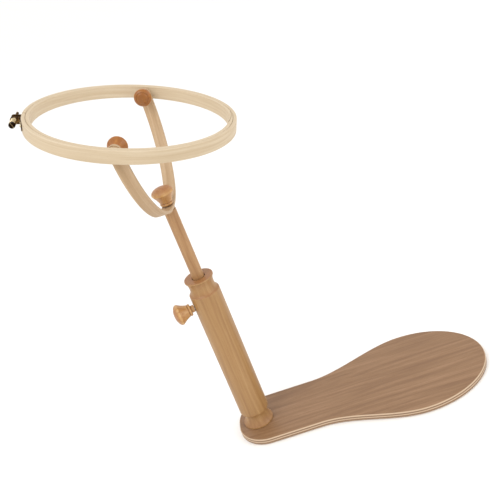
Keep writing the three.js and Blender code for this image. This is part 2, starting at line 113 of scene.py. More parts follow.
board_low, board_high = corners("base_board", stand_frame)
board_top = board_high.z
column_top = corners("column", stand_frame)[1].z
rod_low, rod_high = corners("rod", stand_frame)
rod_radius = radii("rod", stand_frame)[1]
print(f"board {board_high.x - board_low.x:.1f} x {2 * board_high.y:.1f} x {board_top:.1f} mm")
print(f"column to {column_top:.1f}, rod {rod_low.z:.1f} to {rod_high.z:.1f} mm")

# %% [markdown]
# ## Small helpers for node trees
#
# Materials and geometry are both trees of nodes, so one function adds a node to either, with its
# settings and its links. Colours are written as the sRGB hex values that a colour picker shows, and
# shaders want linear light, so one function converts them.

# %% Colour and node helpers


def linear(code):
    """sRGB hex code to a linear RGBA colour."""
    parts = [int(code[i : i + 2], 16) / 255 for i in (1, 3, 5)]
    return [v / 12.92 if v <= 0.04045 else ((v + 0.055) / 1.055) ** 2.4 for v in parts] + [1.0]


def add_node(tree, kind, inputs=None, **settings):
    """Adds a node, sets its properties, and fills its sockets with values, sockets or nodes.

    A node stands for its first output.
    """
    made = tree.nodes.new(kind)
    for name, value in settings.items():
        setattr(made, name, value)
    for key, value in (inputs or {}).items():
        if isinstance(value, bpy.types.Node):
            value = value.outputs[0]
        if isinstance(value, bpy.types.NodeSocket):
            tree.links.new(value, made.inputs[key])
        else:
            made.inputs[key].default_value = value
    return made


def new_material(name):
    """A material with an empty tree, its principled shader and its output joined up."""
    material = bpy.data.materials.new(name)
    material.use_nodes = True
    tree = material.node_tree
    tree.nodes.clear()
    shader = add_node(tree, "ShaderNodeBsdfPrincipled")
    add_node(tree, "ShaderNodeOutputMaterial", {"Surface": shader.outputs["BSDF"]})
    return material, tree, shader


MIX_A, MIX_B, MIX_RESULT = 6, 7, 2  # places of the colour sockets on a Mix node


def set_ramp(ramp, stops):
    """Gives a colour ramp its stops: pairs of place and hex colour."""
    elements = ramp.color_ramp.elements
    while len(elements) < len(stops):
        elements.new(0.5)
    for element, (place, colour) in zip(elements, stops):
        element.position = place
        element.color = linear(colour)


print("beech at #c79c6d is", [round(part, 3) for part in linear("#c79c6d")], "in linear light")

# %% [markdown]
# ## Beech
#
# Beech is a pale pinkish wood. Its growth rings show as soft bands that run along the piece, its
# pores as fine darker streaks, and its rays as small brown dashes, the flecks that tell beech from
# birch. End grain drinks more finish, so it is darker and redder.
# A ready wood texture would run straight through a bent strip. Here every wooden piece carries its
# own grain directions as an attribute named grain, with the first number along the fibres, and one
# tree of noises, each stretched along them, draws the wood on straight and bent pieces alike.
# A second attribute, end, says how far the surface cuts across the fibres.

# %% The beech material


def beech(name, colours, end_colour, streak=0.5, fleck=0.35, roughness=(0.42, 0.6), band_mm=4.0):
    """Beech in three tones, dark to light, with its streaks, flecks, end grain and satin finish."""
    material, tree, shader = new_material(name)
    grain = add_node(tree, "ShaderNodeAttribute", attribute_name="grain").outputs["Vector"]
    metres = 1 / MM

    # Slow wander of the fibres, so that no band is ruled straight: one bend every 90 mm.
    wander = add_node(tree, "ShaderNodeVectorMath", {0: grain, 1: (11, 40, 40)}, operation="MULTIPLY")
    wave = add_node(tree, "ShaderNodeTexNoise", {"Vector": wander, "Scale": 1, "Detail": 1}).outputs["Color"]
    shift = add_node(tree, "ShaderNodeVectorMath", {0: wave, 1: (0, 0.006, 0.006)}, operation="MULTIPLY")
    fibres = add_node(tree, "ShaderNodeVectorMath", {0: grain, 1: shift})

    # Three patterns, each long along the fibres and narrow across them: growth rings that run for a
    # hand's length, pores 25 mm long, and a cell of 6 by 1.6 mm round each ray. Real pores are under
    # 0.1 mm wide; 0.9 mm is what still shows.
    stretched = {}
    for pattern, long_mm, wide_mm in (("rings", 180, band_mm), ("pores", 25, 0.9), ("rays", 6, 1.6)):
        scaled = {0: fibres, 1: (metres / long_mm, metres / wide_mm, metres / wide_mm)}
        stretched[pattern] = add_node(tree, "ShaderNodeVectorMath", scaled, operation="MULTIPLY")
    rings = add_node(tree, "ShaderNodeTexNoise", {"Vector": stretched["rings"], "Scale": 1, "Detail": 5})
    pores = add_node(tree, "ShaderNodeTexNoise", {"Vector": stretched["pores"], "Scale": 1, "Detail": 2})
    rays = add_node(tree, "ShaderNodeTexVoronoi", {"Vector": stretched["rays"], "Scale": 1, "Randomness": 1})
    tone = add_node(tree, "ShaderNodeValToRGB", {"Fac": rings})
    set_ramp(tone, [(0.3, colours[0]), (0.5, colours[1]), (0.7, colours[2])])
    darkest = {"Value": pores, "From Min": 0.5, "From Max": 0.75, "To Max": streak}
    pore_mask = add_node(tree, "ShaderNodeMapRange", darkest)
    nearest = {"Value": rays, "From Min": 0.3, "From Max": 0.12, "To Max": fleck}
    ray_mask = add_node(tree, "ShaderNodeMapRange", nearest)

    # End grain: darker and redder, with a speckle of open pores 0.7 mm apart.
    cut = add_node(tree, "ShaderNodeAttribute", attribute_name="end").outputs["Fac"]
    speckle = add_node(tree, "ShaderNodeTexNoise", {"Vector": grain, "Scale": metres / 0.7, "Detail": 1})
    speckled = add_node(tree, "ShaderNodeMath", {0: cut, 1: speckle}, operation="MULTIPLY")
    end_mask = add_node(tree, "ShaderNodeMath", {0: speckled, 1: 1.5}, operation="MULTIPLY", use_clamp=True)

    # Each mask lays its darker tone over the one below.
    colour = tone.outputs["Color"]
    for mask, tint in ((pore_mask, colours[0]), (ray_mask, end_colour), (end_mask, end_colour)):
        layer = {0: mask, MIX_A: colour, MIX_B: linear(tint)}
        colour = add_node(tree, "ShaderNodeMix", layer, data_type="RGBA").outputs[MIX_RESULT]
    tree.links.new(colour, shader.inputs["Base Color"])

    # Satin finish: a little rougher in the pores, and the pores are 0.05 mm deep.
    smooth, rough = roughness
    shine = {"Value": pores, "From Min": 0.3, "From Max": 0.7, "To Min": smooth, "To Max": rough}
    gloss = add_node(tree, "ShaderNodeMapRange", shine)
    tree.links.new(gloss.outputs[0], shader.inputs["Roughness"])
    dents = {"Strength": 0.25, "Distance": 0.05 * MM, "Height": pores}
    relief = add_node(tree, "ShaderNodeBump", dents, invert=True)
    tree.links.new(relief.outputs[0], shader.inputs["Normal"])
    shader.inputs["IOR"].default_value = 1.5
    return material


print("beech is ready to be mixed")

# %% [markdown]
# ## Six finishes of beech
#
# The same tree gives every wooden part, but the parts are not the same wood to the eye. The hoop is
# bleached, thin and almost cream. The bent yoke is plain sanded beech. The column, the rod and the
# knobs are turned and lacquered, so they are more golden, and the knobs show end grain. Only the
# tones, the size of the bands and the gloss change.

# %% Mix the beech finishes

# Bleached and sanded: almost cream and matt, with faint narrow bands.
hoop_beech = beech(
    "bleached bent beech", ("#b9a485", "#c3af91", "#ccbba0"), "#a3886a", 0.3, 0.12, (0.48, 0.62), 2.5
)
# Steamed, bent and sanded: pinkish tan, matt, with its flecks in sight.
yoke_beech = beech(
    "sanded bent beech", ("#a48661", "#b19370", "#bda280"), "#926c49", 0.4, 0.3, (0.45, 0.6), 3.0
)
# Turned and lacquered: golden, with broad bands and a soft sheen, darker and redder in the coves, which is
# partly end grain and partly painted shade.
column_beech = beech(
    "lacquered turned beech", ("#916a3f", "#9f7849", "#ab8657"), "#905e36", 0.4, 0.35, (0.36, 0.5), 5.0
)
# A planed dowel under the same lacquer: narrower bands and more streaks.
rod_beech = beech(
    "lacquered beech dowel", ("#946b42", "#a57d52", "#b18a5f"), "#825531", 0.5, 0.3, (0.4, 0.55)
)
# The most lacquer: bright gold and sharp highlights, over the end grain of the domes.
knob_beech = beech(
    "lacquered beech knob", ("#ac7e48", "#be935b", "#caa36e"), "#91562a", 0.35, 0.3, (0.3, 0.45)
)
# The two small knobs are darker: deep orange brown.
side_beech = beech(
    "dark lacquered beech knob", ("#9a5a1a", "#a96824", "#b77831"), "#7b4812", 0.35, 0.3, (0.28, 0.42)
)
print("finishes:", ", ".join(m.name for m in bpy.data.materials if "beech" in m.name))

# %% [markdown]
# ## Plywood
#
# The paddle is beech plywood with an oiled, slightly reddish face. A face veneer is peeled wide, so
# its bands are the broadest of all. Round the edge the layers show: long grain, then end grain, in
# turn, each 2 mm thick.
# The face is the same beech tree with wide bands. The edge needs one more step, which reads the
# height on the board and mixes in a darker tone for every second layer where the surface is upright.

# %% The plywood material

PLIES = 5


def plywood(name, colours, end_colour, ply_colours):
    """Oiled beech plywood: a veneered face, and layers that alternate round the edge."""
    material = beech(name, colours, end_colour, 0.45, 0.25, (0.4, 0.56), 6.0)
    tree = material.node_tree
    shader = tree.nodes["Principled BSDF"]
    face = shader.inputs["Base Color"].links[0].from_socket
    place = add_node(tree, "ShaderNodeTexCoord")
    height = add_node(tree, "ShaderNodeSeparateXYZ", {0: place.outputs["Object"]}).outputs["Z"]
    share = add_node(tree, "ShaderNodeMath", {0: height, 1: 1 / (board_top * MM)}, operation="MULTIPLY")
    stack = add_node(tree, "ShaderNodeValToRGB", {"Fac": share})
    stack.color_ramp.interpolation = "CONSTANT"
    set_ramp(stack, [(number / PLIES, ply_colours[number % 2]) for number in range(PLIES)])
    upright = add_node(tree, "ShaderNodeSeparateXYZ", {0: place.outputs["Normal"]}).outputs["Z"]
    level = add_node(tree, "ShaderNodeMath", {0: upright}, operation="ABSOLUTE")
    steep = {"Value": level, "From Min": 0.93, "From Max": 0.8}
    edge = add_node(tree, "ShaderNodeMapRange", steep)
    layer = {0: edge, MIX_A: face, MIX_B: stack}
    mixed = add_node(tree, "ShaderNodeMix", layer, data_type="RGBA")
    tree.links.new(mixed.outputs[MIX_RESULT], shader.inputs["Base Color"])
    return material


board_beech = plywood(
    "oiled beech plywood", ("#7a583b", "#876545", "#937051"), "#68452c", ("#c0a68a", "#836449")
)
print(board_beech.name, "with", PLIES, "layers")

# %% [markdown]
# ## Brass and steel
#
# The tensioner is stamped and turned brass that has gone dark in its corners and stays bright where
# fingers rub it. The screws are zinc-plated steel, drawn and rolled, so they are greyer and finely
# scratched. Both are metals, so only colour and roughness carry them, and the index of refraction
# stays as it is.
# An even metal looks like plastic. A noise a few millimetres wide moves the colour between tarnish
# and clean metal and makes the tarnish rougher.

# %% Mix the metals


def metal(name, dull, bright, patch_mm, roughness, scratch_depth_mm, polish_and_shade=None):
    """A worn metal between a dull and a bright tone, with patches and fine scratches."""
    material, tree, shader = new_material(name)
    place = add_node(tree, "ShaderNodeTexCoord").outputs["Object"]
    scale = 1 / (patch_mm * MM)
    patches = add_node(tree, "ShaderNodeTexNoise", {"Vector": place, "Scale": scale, "Detail": 4})
    tone = add_node(tree, "ShaderNodeValToRGB", {"Fac": patches})
    tarnished, clean = 0.35, 0.62
    set_ramp(tone, [(tarnished, dull), (clean, bright)])
    colour = tone.outputs["Color"]
    if polish_and_shade:
        # Old polish stays in the grooves and on the end, where no finger rubs it off; the same dark tone is
        # also painted shade in the grooves.
        cut = add_node(tree, "ShaderNodeAttribute", attribute_name="end").outputs["Fac"]
        spread = {"Value": cut, "From Min": 0.15, "From Max": 0.5}
        polish_and_shade_mask = add_node(tree, "ShaderNodeMapRange", spread)
        layer = {0: polish_and_shade_mask, MIX_A: tone, MIX_B: linear(polish_and_shade)}
        colour = add_node(tree, "ShaderNodeMix", layer, data_type="RGBA").outputs[MIX_RESULT]
    tree.links.new(colour, shader.inputs["Base Color"])
    smooth, rough = roughness
    shine = {"Value": patches, "From Min": tarnished, "From Max": clean, "To Min": rough, "To Max": smooth}
    gloss = add_node(tree, "ShaderNodeMapRange", shine)
    tree.links.new(gloss.outputs[0], shader.inputs["Roughness"])
    # Scratches 0.4 mm apart: finer ones would vanish at this size.
    scratches = add_node(tree, "ShaderNodeTexNoise", {"Vector": place, "Scale": 1 / (0.4 * MM), "Detail": 2})
    dents = {"Strength": 0.3, "Distance": scratch_depth_mm * MM, "Height": scratches}
    relief = add_node(tree, "ShaderNodeBump", dents)
    tree.links.new(relief.outputs[0], shader.inputs["Normal"])
    shader.inputs["Metallic"].default_value = 1.0
    return material


# Stamped sheet and thread that nobody touches: nearly black brown, with dull gold where it is worn.
aged_brass = metal("aged stamped brass", "#2a1b10", "#86653a", 3.0, (0.25, 0.5), 0.02)
# The barrel and the rivets, rubbed by fingers and sleeves: pale gold, with old polish and painted shade black
# in the grooves.
rubbed_brass = metal("rubbed brass barrel", "#b3945f", "#f3e4bd", 2.0, (0.3, 0.45), 0.01, "#20130b")
# Inserts inside the wood, turned and never handled: an even, warm yellow.
clean_brass = metal("turned brass insert", "#8a6a38", "#c9a25c", 5.0, (0.25, 0.4), 0.01)
# Screws and studs: cool and light grey, faintly mottled.
zinc_steel = metal("zinc-plated steel", "#85878a", "#b9bbbd", 4.0, (0.3, 0.45), 0.01)
print("metals:", ", ".join(m.name for m in (aged_brass, rubbed_brass, clean_brass, zinc_steel)))

# %% [markdown]
# ## Finishing a mesh
#
# Wood that is turned or bent has soft surfaces and a few crisp edges. Smooth shading alone bleeds
# an edge's curve across the flat beside it, so the flats look puffed up. Marking sharp edges by
# angle and weighting the shading by face area keeps the flats flat.
# Modifiers are applied by reading the evaluated object back as a plain mesh, so that the finished
# piece carries its shape in its vertices and nothing else.

# %% Bake, finish and place


def bake(piece):
    """Replaces a piece's mesh by its evaluated one and drops its modifiers."""
    bpy.context.view_layer.update()
    graph = bpy.context.evaluated_depsgraph_get()
    evaluated = piece.evaluated_get(graph)
    mesh = bpy.data.meshes.new_from_object(evaluated, preserve_all_data_layers=True, depsgraph=graph)
    piece.modifiers.clear()
    old, piece.data = piece.data, mesh
    bpy.data.meshes.remove(old)
    mesh.name = piece.name
    return piece


def new_piece(name, mesh=None):
    """A mesh object in the scene, at the origin and unturned."""
    piece = bpy.data.objects.new(name, mesh or bpy.data.meshes.new(name))
    scene.collection.objects.link(piece)
    return piece


def finish(piece, material, sharp_degrees=32):
    """Smooth shading with crisp edges and flat flats, one material, and a line about the result."""
    mesh = piece.data
    mesh.shade_smooth()
    mesh.set_sharp_from_angle(angle=math.radians(sharp_degrees))
    shading = piece.modifiers.new("even shading", "WEIGHTED_NORMAL")
    shading.keep_sharp = True
    bake(piece)
    piece.data.materials.clear()
    piece.data.materials.append(material)
    print(f"{piece.name}: {len(piece.data.polygons)} faces, {material.name}")
    return piece


def mount(piece, body, slot, *replaced):
    """Lets a piece ride on its body, and hides the nodes that it stands for."""
    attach(piece, body)
    if replaced:
        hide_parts(*replaced)


print("helpers ready")

# %% [markdown]
# ## Turning on a lathe
#
# The column, the rod, the knobs, the washer and the spacers are turned, so each is a profile
# revolved round an axis. A Screw modifier could revolve a curve, but here the same step also has to
# write the two wood attributes: grain along the axis, and end from the slope of the profile.
# A profile is a list of radius and height in millimetres, walked up the outside. Where it starts
# and ends on the axis, the pole is one vertex, so the solid is closed.

# %% Revolve a profile


def write_vectors(mesh, name, vectors):
    """Stores one vector for each vertex of a mesh, as a named attribute."""
    layer = mesh.attributes.new(name, "FLOAT_VECTOR", "POINT")
    layer.data.foreach_set("vector", [part for vector in vectors for part in vector])


def turned_mesh(profile, placing, steps=72):
    """A closed mesh of revolution with its wood attributes, placed by a matrix."""
    loop = profile[0] == profile[-1]
    stations = profile[:-1] if loop else profile
    points, grain, end, rings = [], [], [], []
    last = len(stations) - 1
    for number, (radius, height) in enumerate(stations):
        if loop:
            before, after = stations[number - 1], stations[(number + 1) % len(stations)]
        else:
            before, after = stations[max(number - 1, 0)], stations[min(number + 1, last)]
        run, rise = after[0] - before[0], after[1] - before[1]
        cut = abs(run) / (math.hypot(run, rise) or 1)
        count = 1 if radius == 0 else steps
        rings.append(range(len(points), len(points) + count))
        for step in range(count):
            turn = math.tau * step / steps
            local = Vector((radius * math.cos(turn), radius * math.sin(turn), height)) * MM
            points.append(placing @ local)
            grain.append((local.z, local.x, local.y))
            end.append(cut)
    faces = []
    for lower, upper in zip(rings, rings[1:] + (rings[:1] if loop else [])):
        for step in range(steps):
            following = (step + 1) % steps
            corner = [lower[step % len(lower)], lower[following % len(lower)]]
            corner += [upper[following % len(upper)], upper[step % len(upper)]]
            unique = list(dict.fromkeys(corner))
            if len(unique) > 2:
                faces.append(unique)
    mesh = bpy.data.meshes.new("turned")
    mesh.from_pydata(points, [], faces)
    write_vectors(mesh, "grain", grain)
    mesh.attributes.new("end", "FLOAT", "POINT").data.foreach_set("value", end)
    return mesh


def bezier(start, first, second, stop, count):
    """Points of a cubic curve, without its first one."""
    points = []
    for step in range(1, count + 1):
        t = step / count
        weights = ((1 - t) ** 3, 3 * t * (1 - t) ** 2, 3 * t * t * (1 - t), t**3)
        handles = (start, first, second, stop)
        points.append(tuple(sum(w * h[axis] for w, h in zip(weights, handles)) for axis in (0, 1)))
    return points


def arc(centre, size, start, stop, count):
    """Points of an elliptic arc between two angles in degrees, without its first one."""
    turns = [math.radians(start + (stop - start) * step / count) for step in range(1, count + 1)]
    return [(centre[0] + size[0] * math.cos(t), centre[1] + size[1] * math.sin(t)) for t in turns]


print("a quarter arc:", [(round(x, 2), round(y, 2)) for x, y in arc((0, 0), (1, 1), 0, 90, 3)])

# %% [markdown]
# ## Drilling and cutting
#
# Bores, countersinks and slots are cut with a boolean, as they are drilled in the workshop. Each
# cutter is a small turned or boxed mesh that passes well through the surface, and it is thrown away
# once the result is baked.

# %% Cut with booleans


def wood_layers(mesh):
    """Gives a mesh both wood attributes, because a boolean drops them where the two sides differ."""
    for name, kind in (("grain", "FLOAT_VECTOR"), ("end", "FLOAT")):
        if name not in mesh.attributes:
            mesh.attributes.new(name, kind, "POINT")


def cut_with(piece, meshes, operation="DIFFERENCE"):
    """Cuts a piece with each mesh in turn and bakes the result."""
    for mesh in (piece.data, *meshes):
        wood_layers(mesh)
    cutters = [new_piece("cutter", mesh) for mesh in meshes]
    for cutter in cutters:
        boolean = piece.modifiers.new("cut", "BOOLEAN")
        boolean.operation = operation
        boolean.solver = "EXACT"
        boolean.object = cutter
    bake(piece)
    for cutter in cutters:
        mesh = cutter.data
        bpy.data.objects.remove(cutter)
        bpy.data.meshes.remove(mesh)


def bore(radius, low, high, placing, steps=32):
    """A plain drill: a cylinder along a frame's Z axis between two heights."""
    return turned_mesh([(0, low), (radius, low), (radius, high), (0, high)], placing, steps)


def box_mesh(low, high, placing):
    """A closed box between two corners in millimetres."""
    cube = bmesh.new()
    bmesh.ops.create_cube(cube, size=1)
    middle, size = (Vector(low) + Vector(high)) / 2, Vector(high) - Vector(low)
    for vertex in cube.verts:
        spot = Vector(centre + offset * span for centre, offset, span in zip(middle, vertex.co, size))
        vertex.co = placing @ (spot * MM)
    mesh = bpy.data.meshes.new("box")
    cube.to_mesh(mesh)
    cube.free()
    return mesh


def turned_by(degrees, axis, placing):
    """The same frame, turned about one of its own axes."""
    return placing @ Matrix.Rotation(math.radians(degrees), 4, axis)


print("cutting tools ready")

# %% [markdown]
# ## The column
#
# The column is one length of beech, turned with a cove below its rim, the same cove above its foot,
# and a thin flange that sits on the board. A hairline groove sets the rim off from the cove. The
# rod runs in a deep bore, and a cross bore takes the thumb screw.
# A cove cuts across the fibres, so its end value is high and it comes out darker: partly end grain, and
# partly painted shade in the coves and round the foot.

# %% Draw the column's profile

column_radius = 22.0
foot_radius, foot_height = 22.8, 2.5
lip_radius, lip_height, lip_step = 20.8, 3.0, 0.9
cove_radius, cove_length, shoulder = 16.4, 22.5, 2.4
column_length = column_top - board_top
bore_radius = rod_radius + 0.8
bore_depth = 215.0
easing = 0.5
groove, lip_round, rim_round, mouth = 0.1, 0.7, 0.9, 0.8

low_shoulder, top_shoulder = cove_length, column_length - cove_length
lip_bottom = column_length - lip_height
half_cove = cove_length / 2
# The flange, with both edges eased.
profile = [(0, 0), (foot_radius - easing, 0)]
profile += arc((foot_radius - easing, easing), (easing, easing), -90, 0, 4)
profile += [(foot_radius, foot_height - easing)]
profile += arc((foot_radius - easing, foot_height - easing), (easing, easing), 0, 90, 4)
# The lower cove, and the shoulders at both ends of the straight part.
profile += bezier(
    profile[-1],
    (cove_radius, half_cove),
    (cove_radius, low_shoulder),
    (column_radius - shoulder, low_shoulder),
    24,
)
profile += arc((column_radius - shoulder, low_shoulder + shoulder), (shoulder, shoulder), -90, 0, 8)
profile += arc((column_radius - shoulder, top_shoulder - shoulder), (shoulder, shoulder), 0, 55, 6)
# The upper cove, which leaves its shoulder on a slope.
profile += bezier(
    profile[-1],
    (cove_radius + 1.2, top_shoulder + 1.4),
    (cove_radius, column_length - half_cove),
    (lip_radius - lip_step, lip_bottom - 4 * groove),
    24,
)
# The hairline groove, the lip, and the eased mouth of the bore.
profile += [
    (lip_radius - lip_step - 3 * groove, lip_bottom - groove),
    (lip_radius - lip_step, lip_bottom + groove),
]
profile += arc((lip_radius - lip_round, lip_bottom + groove + lip_round), (lip_round, lip_round), -90, 0, 4)
profile += arc((lip_radius - rim_round, column_length - rim_round), (rim_round, rim_round), 0, 90, 6)
profile += [(bore_radius + mouth, column_length), (bore_radius + 0.3, column_length - 0.2)]
profile += [(bore_radius, column_length - mouth), (bore_radius, column_length - bore_depth)]
profile += [(0, column_length - bore_depth)]
print("column profile:", len(profile), "points")

# %% Turn the column

column_frame = Matrix.Translation(UP * board_top * MM)
column = new_piece("turned_column", turned_mesh(profile, column_frame, 96))
insert_radius = radii("thumb_insert", thumb_frame)[1] + 0.3
cut_with(column, [bore(insert_radius, 0, column_radius + 5, thumb_frame)])
finish(column, column_beech)
mount(column, "base", "column_beech", "column")

# %% [markdown]
# ## The rod
#
# The rod is a beech dowel, and its ends are eased so that it enters the bore. A dowel is planed
# round rather than turned, which leaves faint flats, so its radius wanders by a few hundredths of a
# millimetre along its length.

# %% Round the rod

rod_ease, planing = 1.0, 0.03
rod_length = rod_high.z - rod_low.z
stops = 40
profile = [(0, rod_low.z), (rod_radius - rod_ease, rod_low.z), (rod_radius, rod_low.z + rod_ease)]
for step in range(1, stops):
    height = rod_low.z + rod_ease + (rod_length - 2 * rod_ease) * step / stops
    profile.append((rod_radius - planing + planing * math.sin(step * 2.1), height))
profile += arc((rod_radius - rod_ease, rod_high.z - rod_ease), (rod_ease, rod_ease), 0, 90, 5)
profile += [(0, rod_high.z)]
rod = new_piece("dowel_rod", turned_mesh(profile, stand_frame, 64))
finish(rod, rod_beech)
mount(rod, "rod", "rod_beech", "rod")

# %% [markdown]
# ## The knobs
#
# Four knobs hold the stand: one pinches the rod, one clamps the yoke, and two smaller ones hold the
# hoop's tilt. Each is turned from a dowel with the fibres along its axis: a thin neck, a bead, a
# hollow taper that swells to a rim, and a low dome that shows end grain, with a fine ring turned in it.
# They are one profile with eight sizes, in millimetres, and the two small ones are darker. The
# bore up the neck is open, because the insert and the stud sit in it.

# %% Sizes of the knobs

BIG_KNOB = {
    "head": 15.0,
    "neck": (5.2, 4.6),
    "bead": (9.0, 4.4),
    "waist": 8.6,
    "taper": 12.4,
    "rim": 1.6,
    "dome": 7.0,
    "ring": 0.2,
}
YOKE_KNOB = {**BIG_KNOB, "neck": (5.2, 1.0)}
SIDE_KNOB = {
    "head": 12.0,
    "neck": (4.8, 1.0),
    "bead": (7.4, 3.4),
    "waist": 6.4,
    "taper": 9.4,
    "rim": 1.3,
    "dome": 5.4,
    "ring": 0.5,
}
print("each knob has", len(BIG_KNOB), "sizes")

# %% Draw and turn one knob


def knob_profile(knob, bore_size, depth):
    """Profile of a knob that stands on its neck, walked from the bore's end round to the dome."""
    neck_radius, neck_length = knob["neck"]
    bead_radius, bead_length = knob["bead"]
    half = bead_length / 2
    waist = neck_length + bead_length
    rim = waist + knob["taper"]
    dome = rim + knob["rim"]
    head = knob["head"]
    broken = 0.3  # mm, the edges of the neck
    outline = [(0, depth), (bore_size, depth), (bore_size, broken), (bore_size + broken, 0)]
    outline += [(neck_radius - broken, 0), (neck_radius, broken), (neck_radius, neck_length)]
    # The bead is half round. The taper leaves it hollow, and swells before the rim.
    outline += [(bead_radius - half, neck_length + 0.02)]
    outline += arc((bead_radius - half, neck_length + half), (half, half), -88, 88, 12)
    outline += [(knob["waist"], waist)]
    bend = (knob["waist"] + 1.4, waist + (rim - waist) * 0.45)
    outline += bezier(outline[-1], bend, (head - 1.6, rim - 2.4), (head - 0.3, rim - 0.15), 16)
    outline += arc((head - 0.5, rim + 0.5), (0.5, 0.6), -60, 0, 3)
    # The dome starts a little below the rim's top. It is an arc broken by the ring, which is a step
    # smaller all round.
    below = 0.4
    foot, rise = dome - below, knob["dome"] + below
    outline += [(head, foot)]
    outline += arc((0, foot), (head, rise), 4, 44, 11)
    outline += arc((0, foot - knob["ring"]), (head - knob["ring"], rise), 46, 50, 3)
    outline += arc((0, foot), (head, rise), 52, 86, 10)
    return outline + [(0, dome + knob["dome"])]


def knob(name, sizes, node, placing, bore_node, grip, body, material):
    """Turns one knob on its screw's frame, seated where the frame's own knob is."""
    bore_size = radii(bore_node, placing)[1] + 0.3
    seat = corners(node, placing)[0].z
    outline = knob_profile(sizes, bore_size, grip)
    piece = new_piece(name, turned_mesh(outline, placing @ Matrix.Translation(UP * seat * MM), 64))
    finish(piece, material, 40)
    mount(piece, body, "knob_beech", node)


print("an outline of", len(knob_profile(BIG_KNOB, 3, 14)), "points")

# %% Turn the four knobs

far_frame = turned_by(90, "X", hoop_frame)
near_frame = turned_by(-90, "X", hoop_frame)
for name, sizes, node, placing, bore_node, grip, body in (
    ("thumb_knob_turned", BIG_KNOB, "thumb_knob", thumb_frame, "thumb_stud", 14.3, "thumb_screw"),
    ("yoke_knob_turned", YOKE_KNOB, "yoke_knob", stand_frame, "yoke_knob_insert", 20.3, "yoke_clamp"),
):
    knob(name, sizes, node, placing, bore_node, grip, body, knob_beech)
for side, placing in (("far", far_frame), ("near", near_frame)):
    node, insert_node = f"pivot_knob_{side}", f"pivot_knob_insert_{side}"
    knob(f"{side}_knob_turned", SIDE_KNOB, node, placing, insert_node, 13.3, f"knob_{side}", side_beech)
print("four knobs turned")

# %% [markdown]
# ## Spacers and washer
#
# A wooden disc keeps the yoke off the end of the rod, and a short one at each pivot keeps the ring
# off the yoke's arm. They are cut from dowel, so both faces are end grain and the edges are broken
# with sandpaper. Their sizes come from the frame, so one function makes all three.

# %% Turn the discs


def disc(name, node, placing, material, body, slot):
    """A turned washer with broken edges, the size of the frame's own node."""
    low, high = corners(node, placing)
    inner, outer = radii(node, placing)
    ease = 0.35
    outline = [(inner, low.z), (outer - ease, low.z)]
    outline += arc((outer - ease, low.z + ease), (ease, ease), -90, 0, 4)
    outline += [(outer, high.z - ease)]
    outline += arc((outer - ease, high.z - ease), (ease, ease), 0, 90, 4)
    outline += [(inner, high.z), (inner, low.z)]
    piece = finish(new_piece(name, turned_mesh(outline, placing, 48)), material)
    mount(piece, body, slot, node)


disc("washer_disc", "yoke_washer", stand_frame, yoke_beech, "rod", "yoke_beech")
disc("far_spacer", "pivot_spacer_far", far_frame, yoke_beech, "hoop", "yoke_beech")
disc("near_spacer", "pivot_spacer_near", near_frame, yoke_beech, "hoop", "yoke_beech")

# %% [markdown]
# ## Bending strips with Geometry Nodes
#
# The two rings and the yoke start as straight strips, are steamed, and are bent round a form. The
# two brass brackets are bent from strip too. All five follow the same rule, so one node tree bends
# them: it makes a straight bar with eased edges, keeps the straight coordinates as the grain
# attribute, and then moves each point to its place beside a path.
# Sweeping a profile along the path would look the same, but it would lose the straight coordinates
# that make the fibres follow the bend.
# Two more inputs shape the ends. A scarf thins both ends over a length, so that a ring can overlap
# itself and be glued, and a round end narrows the strip to half a circle.

# %% Helpers for geometry trees


def geometry_tree(name, inputs):
    """A geometry tree with a mesh in and out and named inputs, and its input and output nodes."""
    tree = bpy.data.node_groups.new(name, "GeometryNodeTree")
    tree.interface.new_socket("Geometry", in_out="INPUT", socket_type="NodeSocketGeometry")
    tree.interface.new_socket("Geometry", in_out="OUTPUT", socket_type="NodeSocketGeometry")
    for label, kind in inputs.items():
        tree.interface.new_socket(label, in_out="INPUT", socket_type=f"NodeSocket{kind}")
    return tree, add_node(tree, "NodeGroupInput").outputs, add_node(tree, "NodeGroupOutput").inputs


def close_tree(tree, geometry, material, output):
    """Ends a tree: real geometry instead of instances, its material, and the output."""
    real = add_node(tree, "GeometryNodeRealizeInstances", {0: geometry})
    painted = add_node(tree, "GeometryNodeSetMaterial", {"Geometry": real, "Material": material})
    tree.links.new(painted.outputs[0], output[0])


def run_tree(piece, tree, values):
    """Puts a tree on a piece with its input values, by socket identifier, and bakes it."""
    modifier = piece.modifiers.new(tree.name, "NODES")
    modifier.node_group = tree
    for socket in tree.interface.items_tree:
        if socket.in_out == "INPUT" and socket.name in values:
            modifier[socket.identifier] = values[socket.name]
    return bake(piece)


print("trees can be opened, closed and run")

# %% Start the strip tree

strip_tree, given, result = geometry_tree(
    "bent strip",
    {
        "Width": "Float",
        "Thickness": "Float",
        "Edge": "Float",
        "Stations": "Int",
        "Across": "Vector",
        "Scarf": "Float",
        "Round end": "Float",
        "Material": "Material",
    },
)

# The straight bar: a line cut into stations, and a rectangle with eased corners swept along it.
line = add_node(strip_tree, "GeometryNodeCurvePrimitiveLine", {"End": (1, 0, 0)})
cuts = {"Curve": line, "Count": given["Stations"]}
stations = add_node(strip_tree, "GeometryNodeResampleCurve", cuts)
rectangle = {"Width": given["Width"], "Height": given["Thickness"]}
section = add_node(strip_tree, "GeometryNodeCurvePrimitiveQuadrilateral", rectangle)
easing_cut = {"Curve": section, "Radius": given["Edge"], "Count": 4}
eased = add_node(strip_tree, "GeometryNodeFilletCurve", easing_cut, mode="POLY")
sweep = {"Curve": stations, "Profile Curve": eased, "Fill Caps": True}
bar = add_node(strip_tree, "GeometryNodeCurveToMesh", sweep)

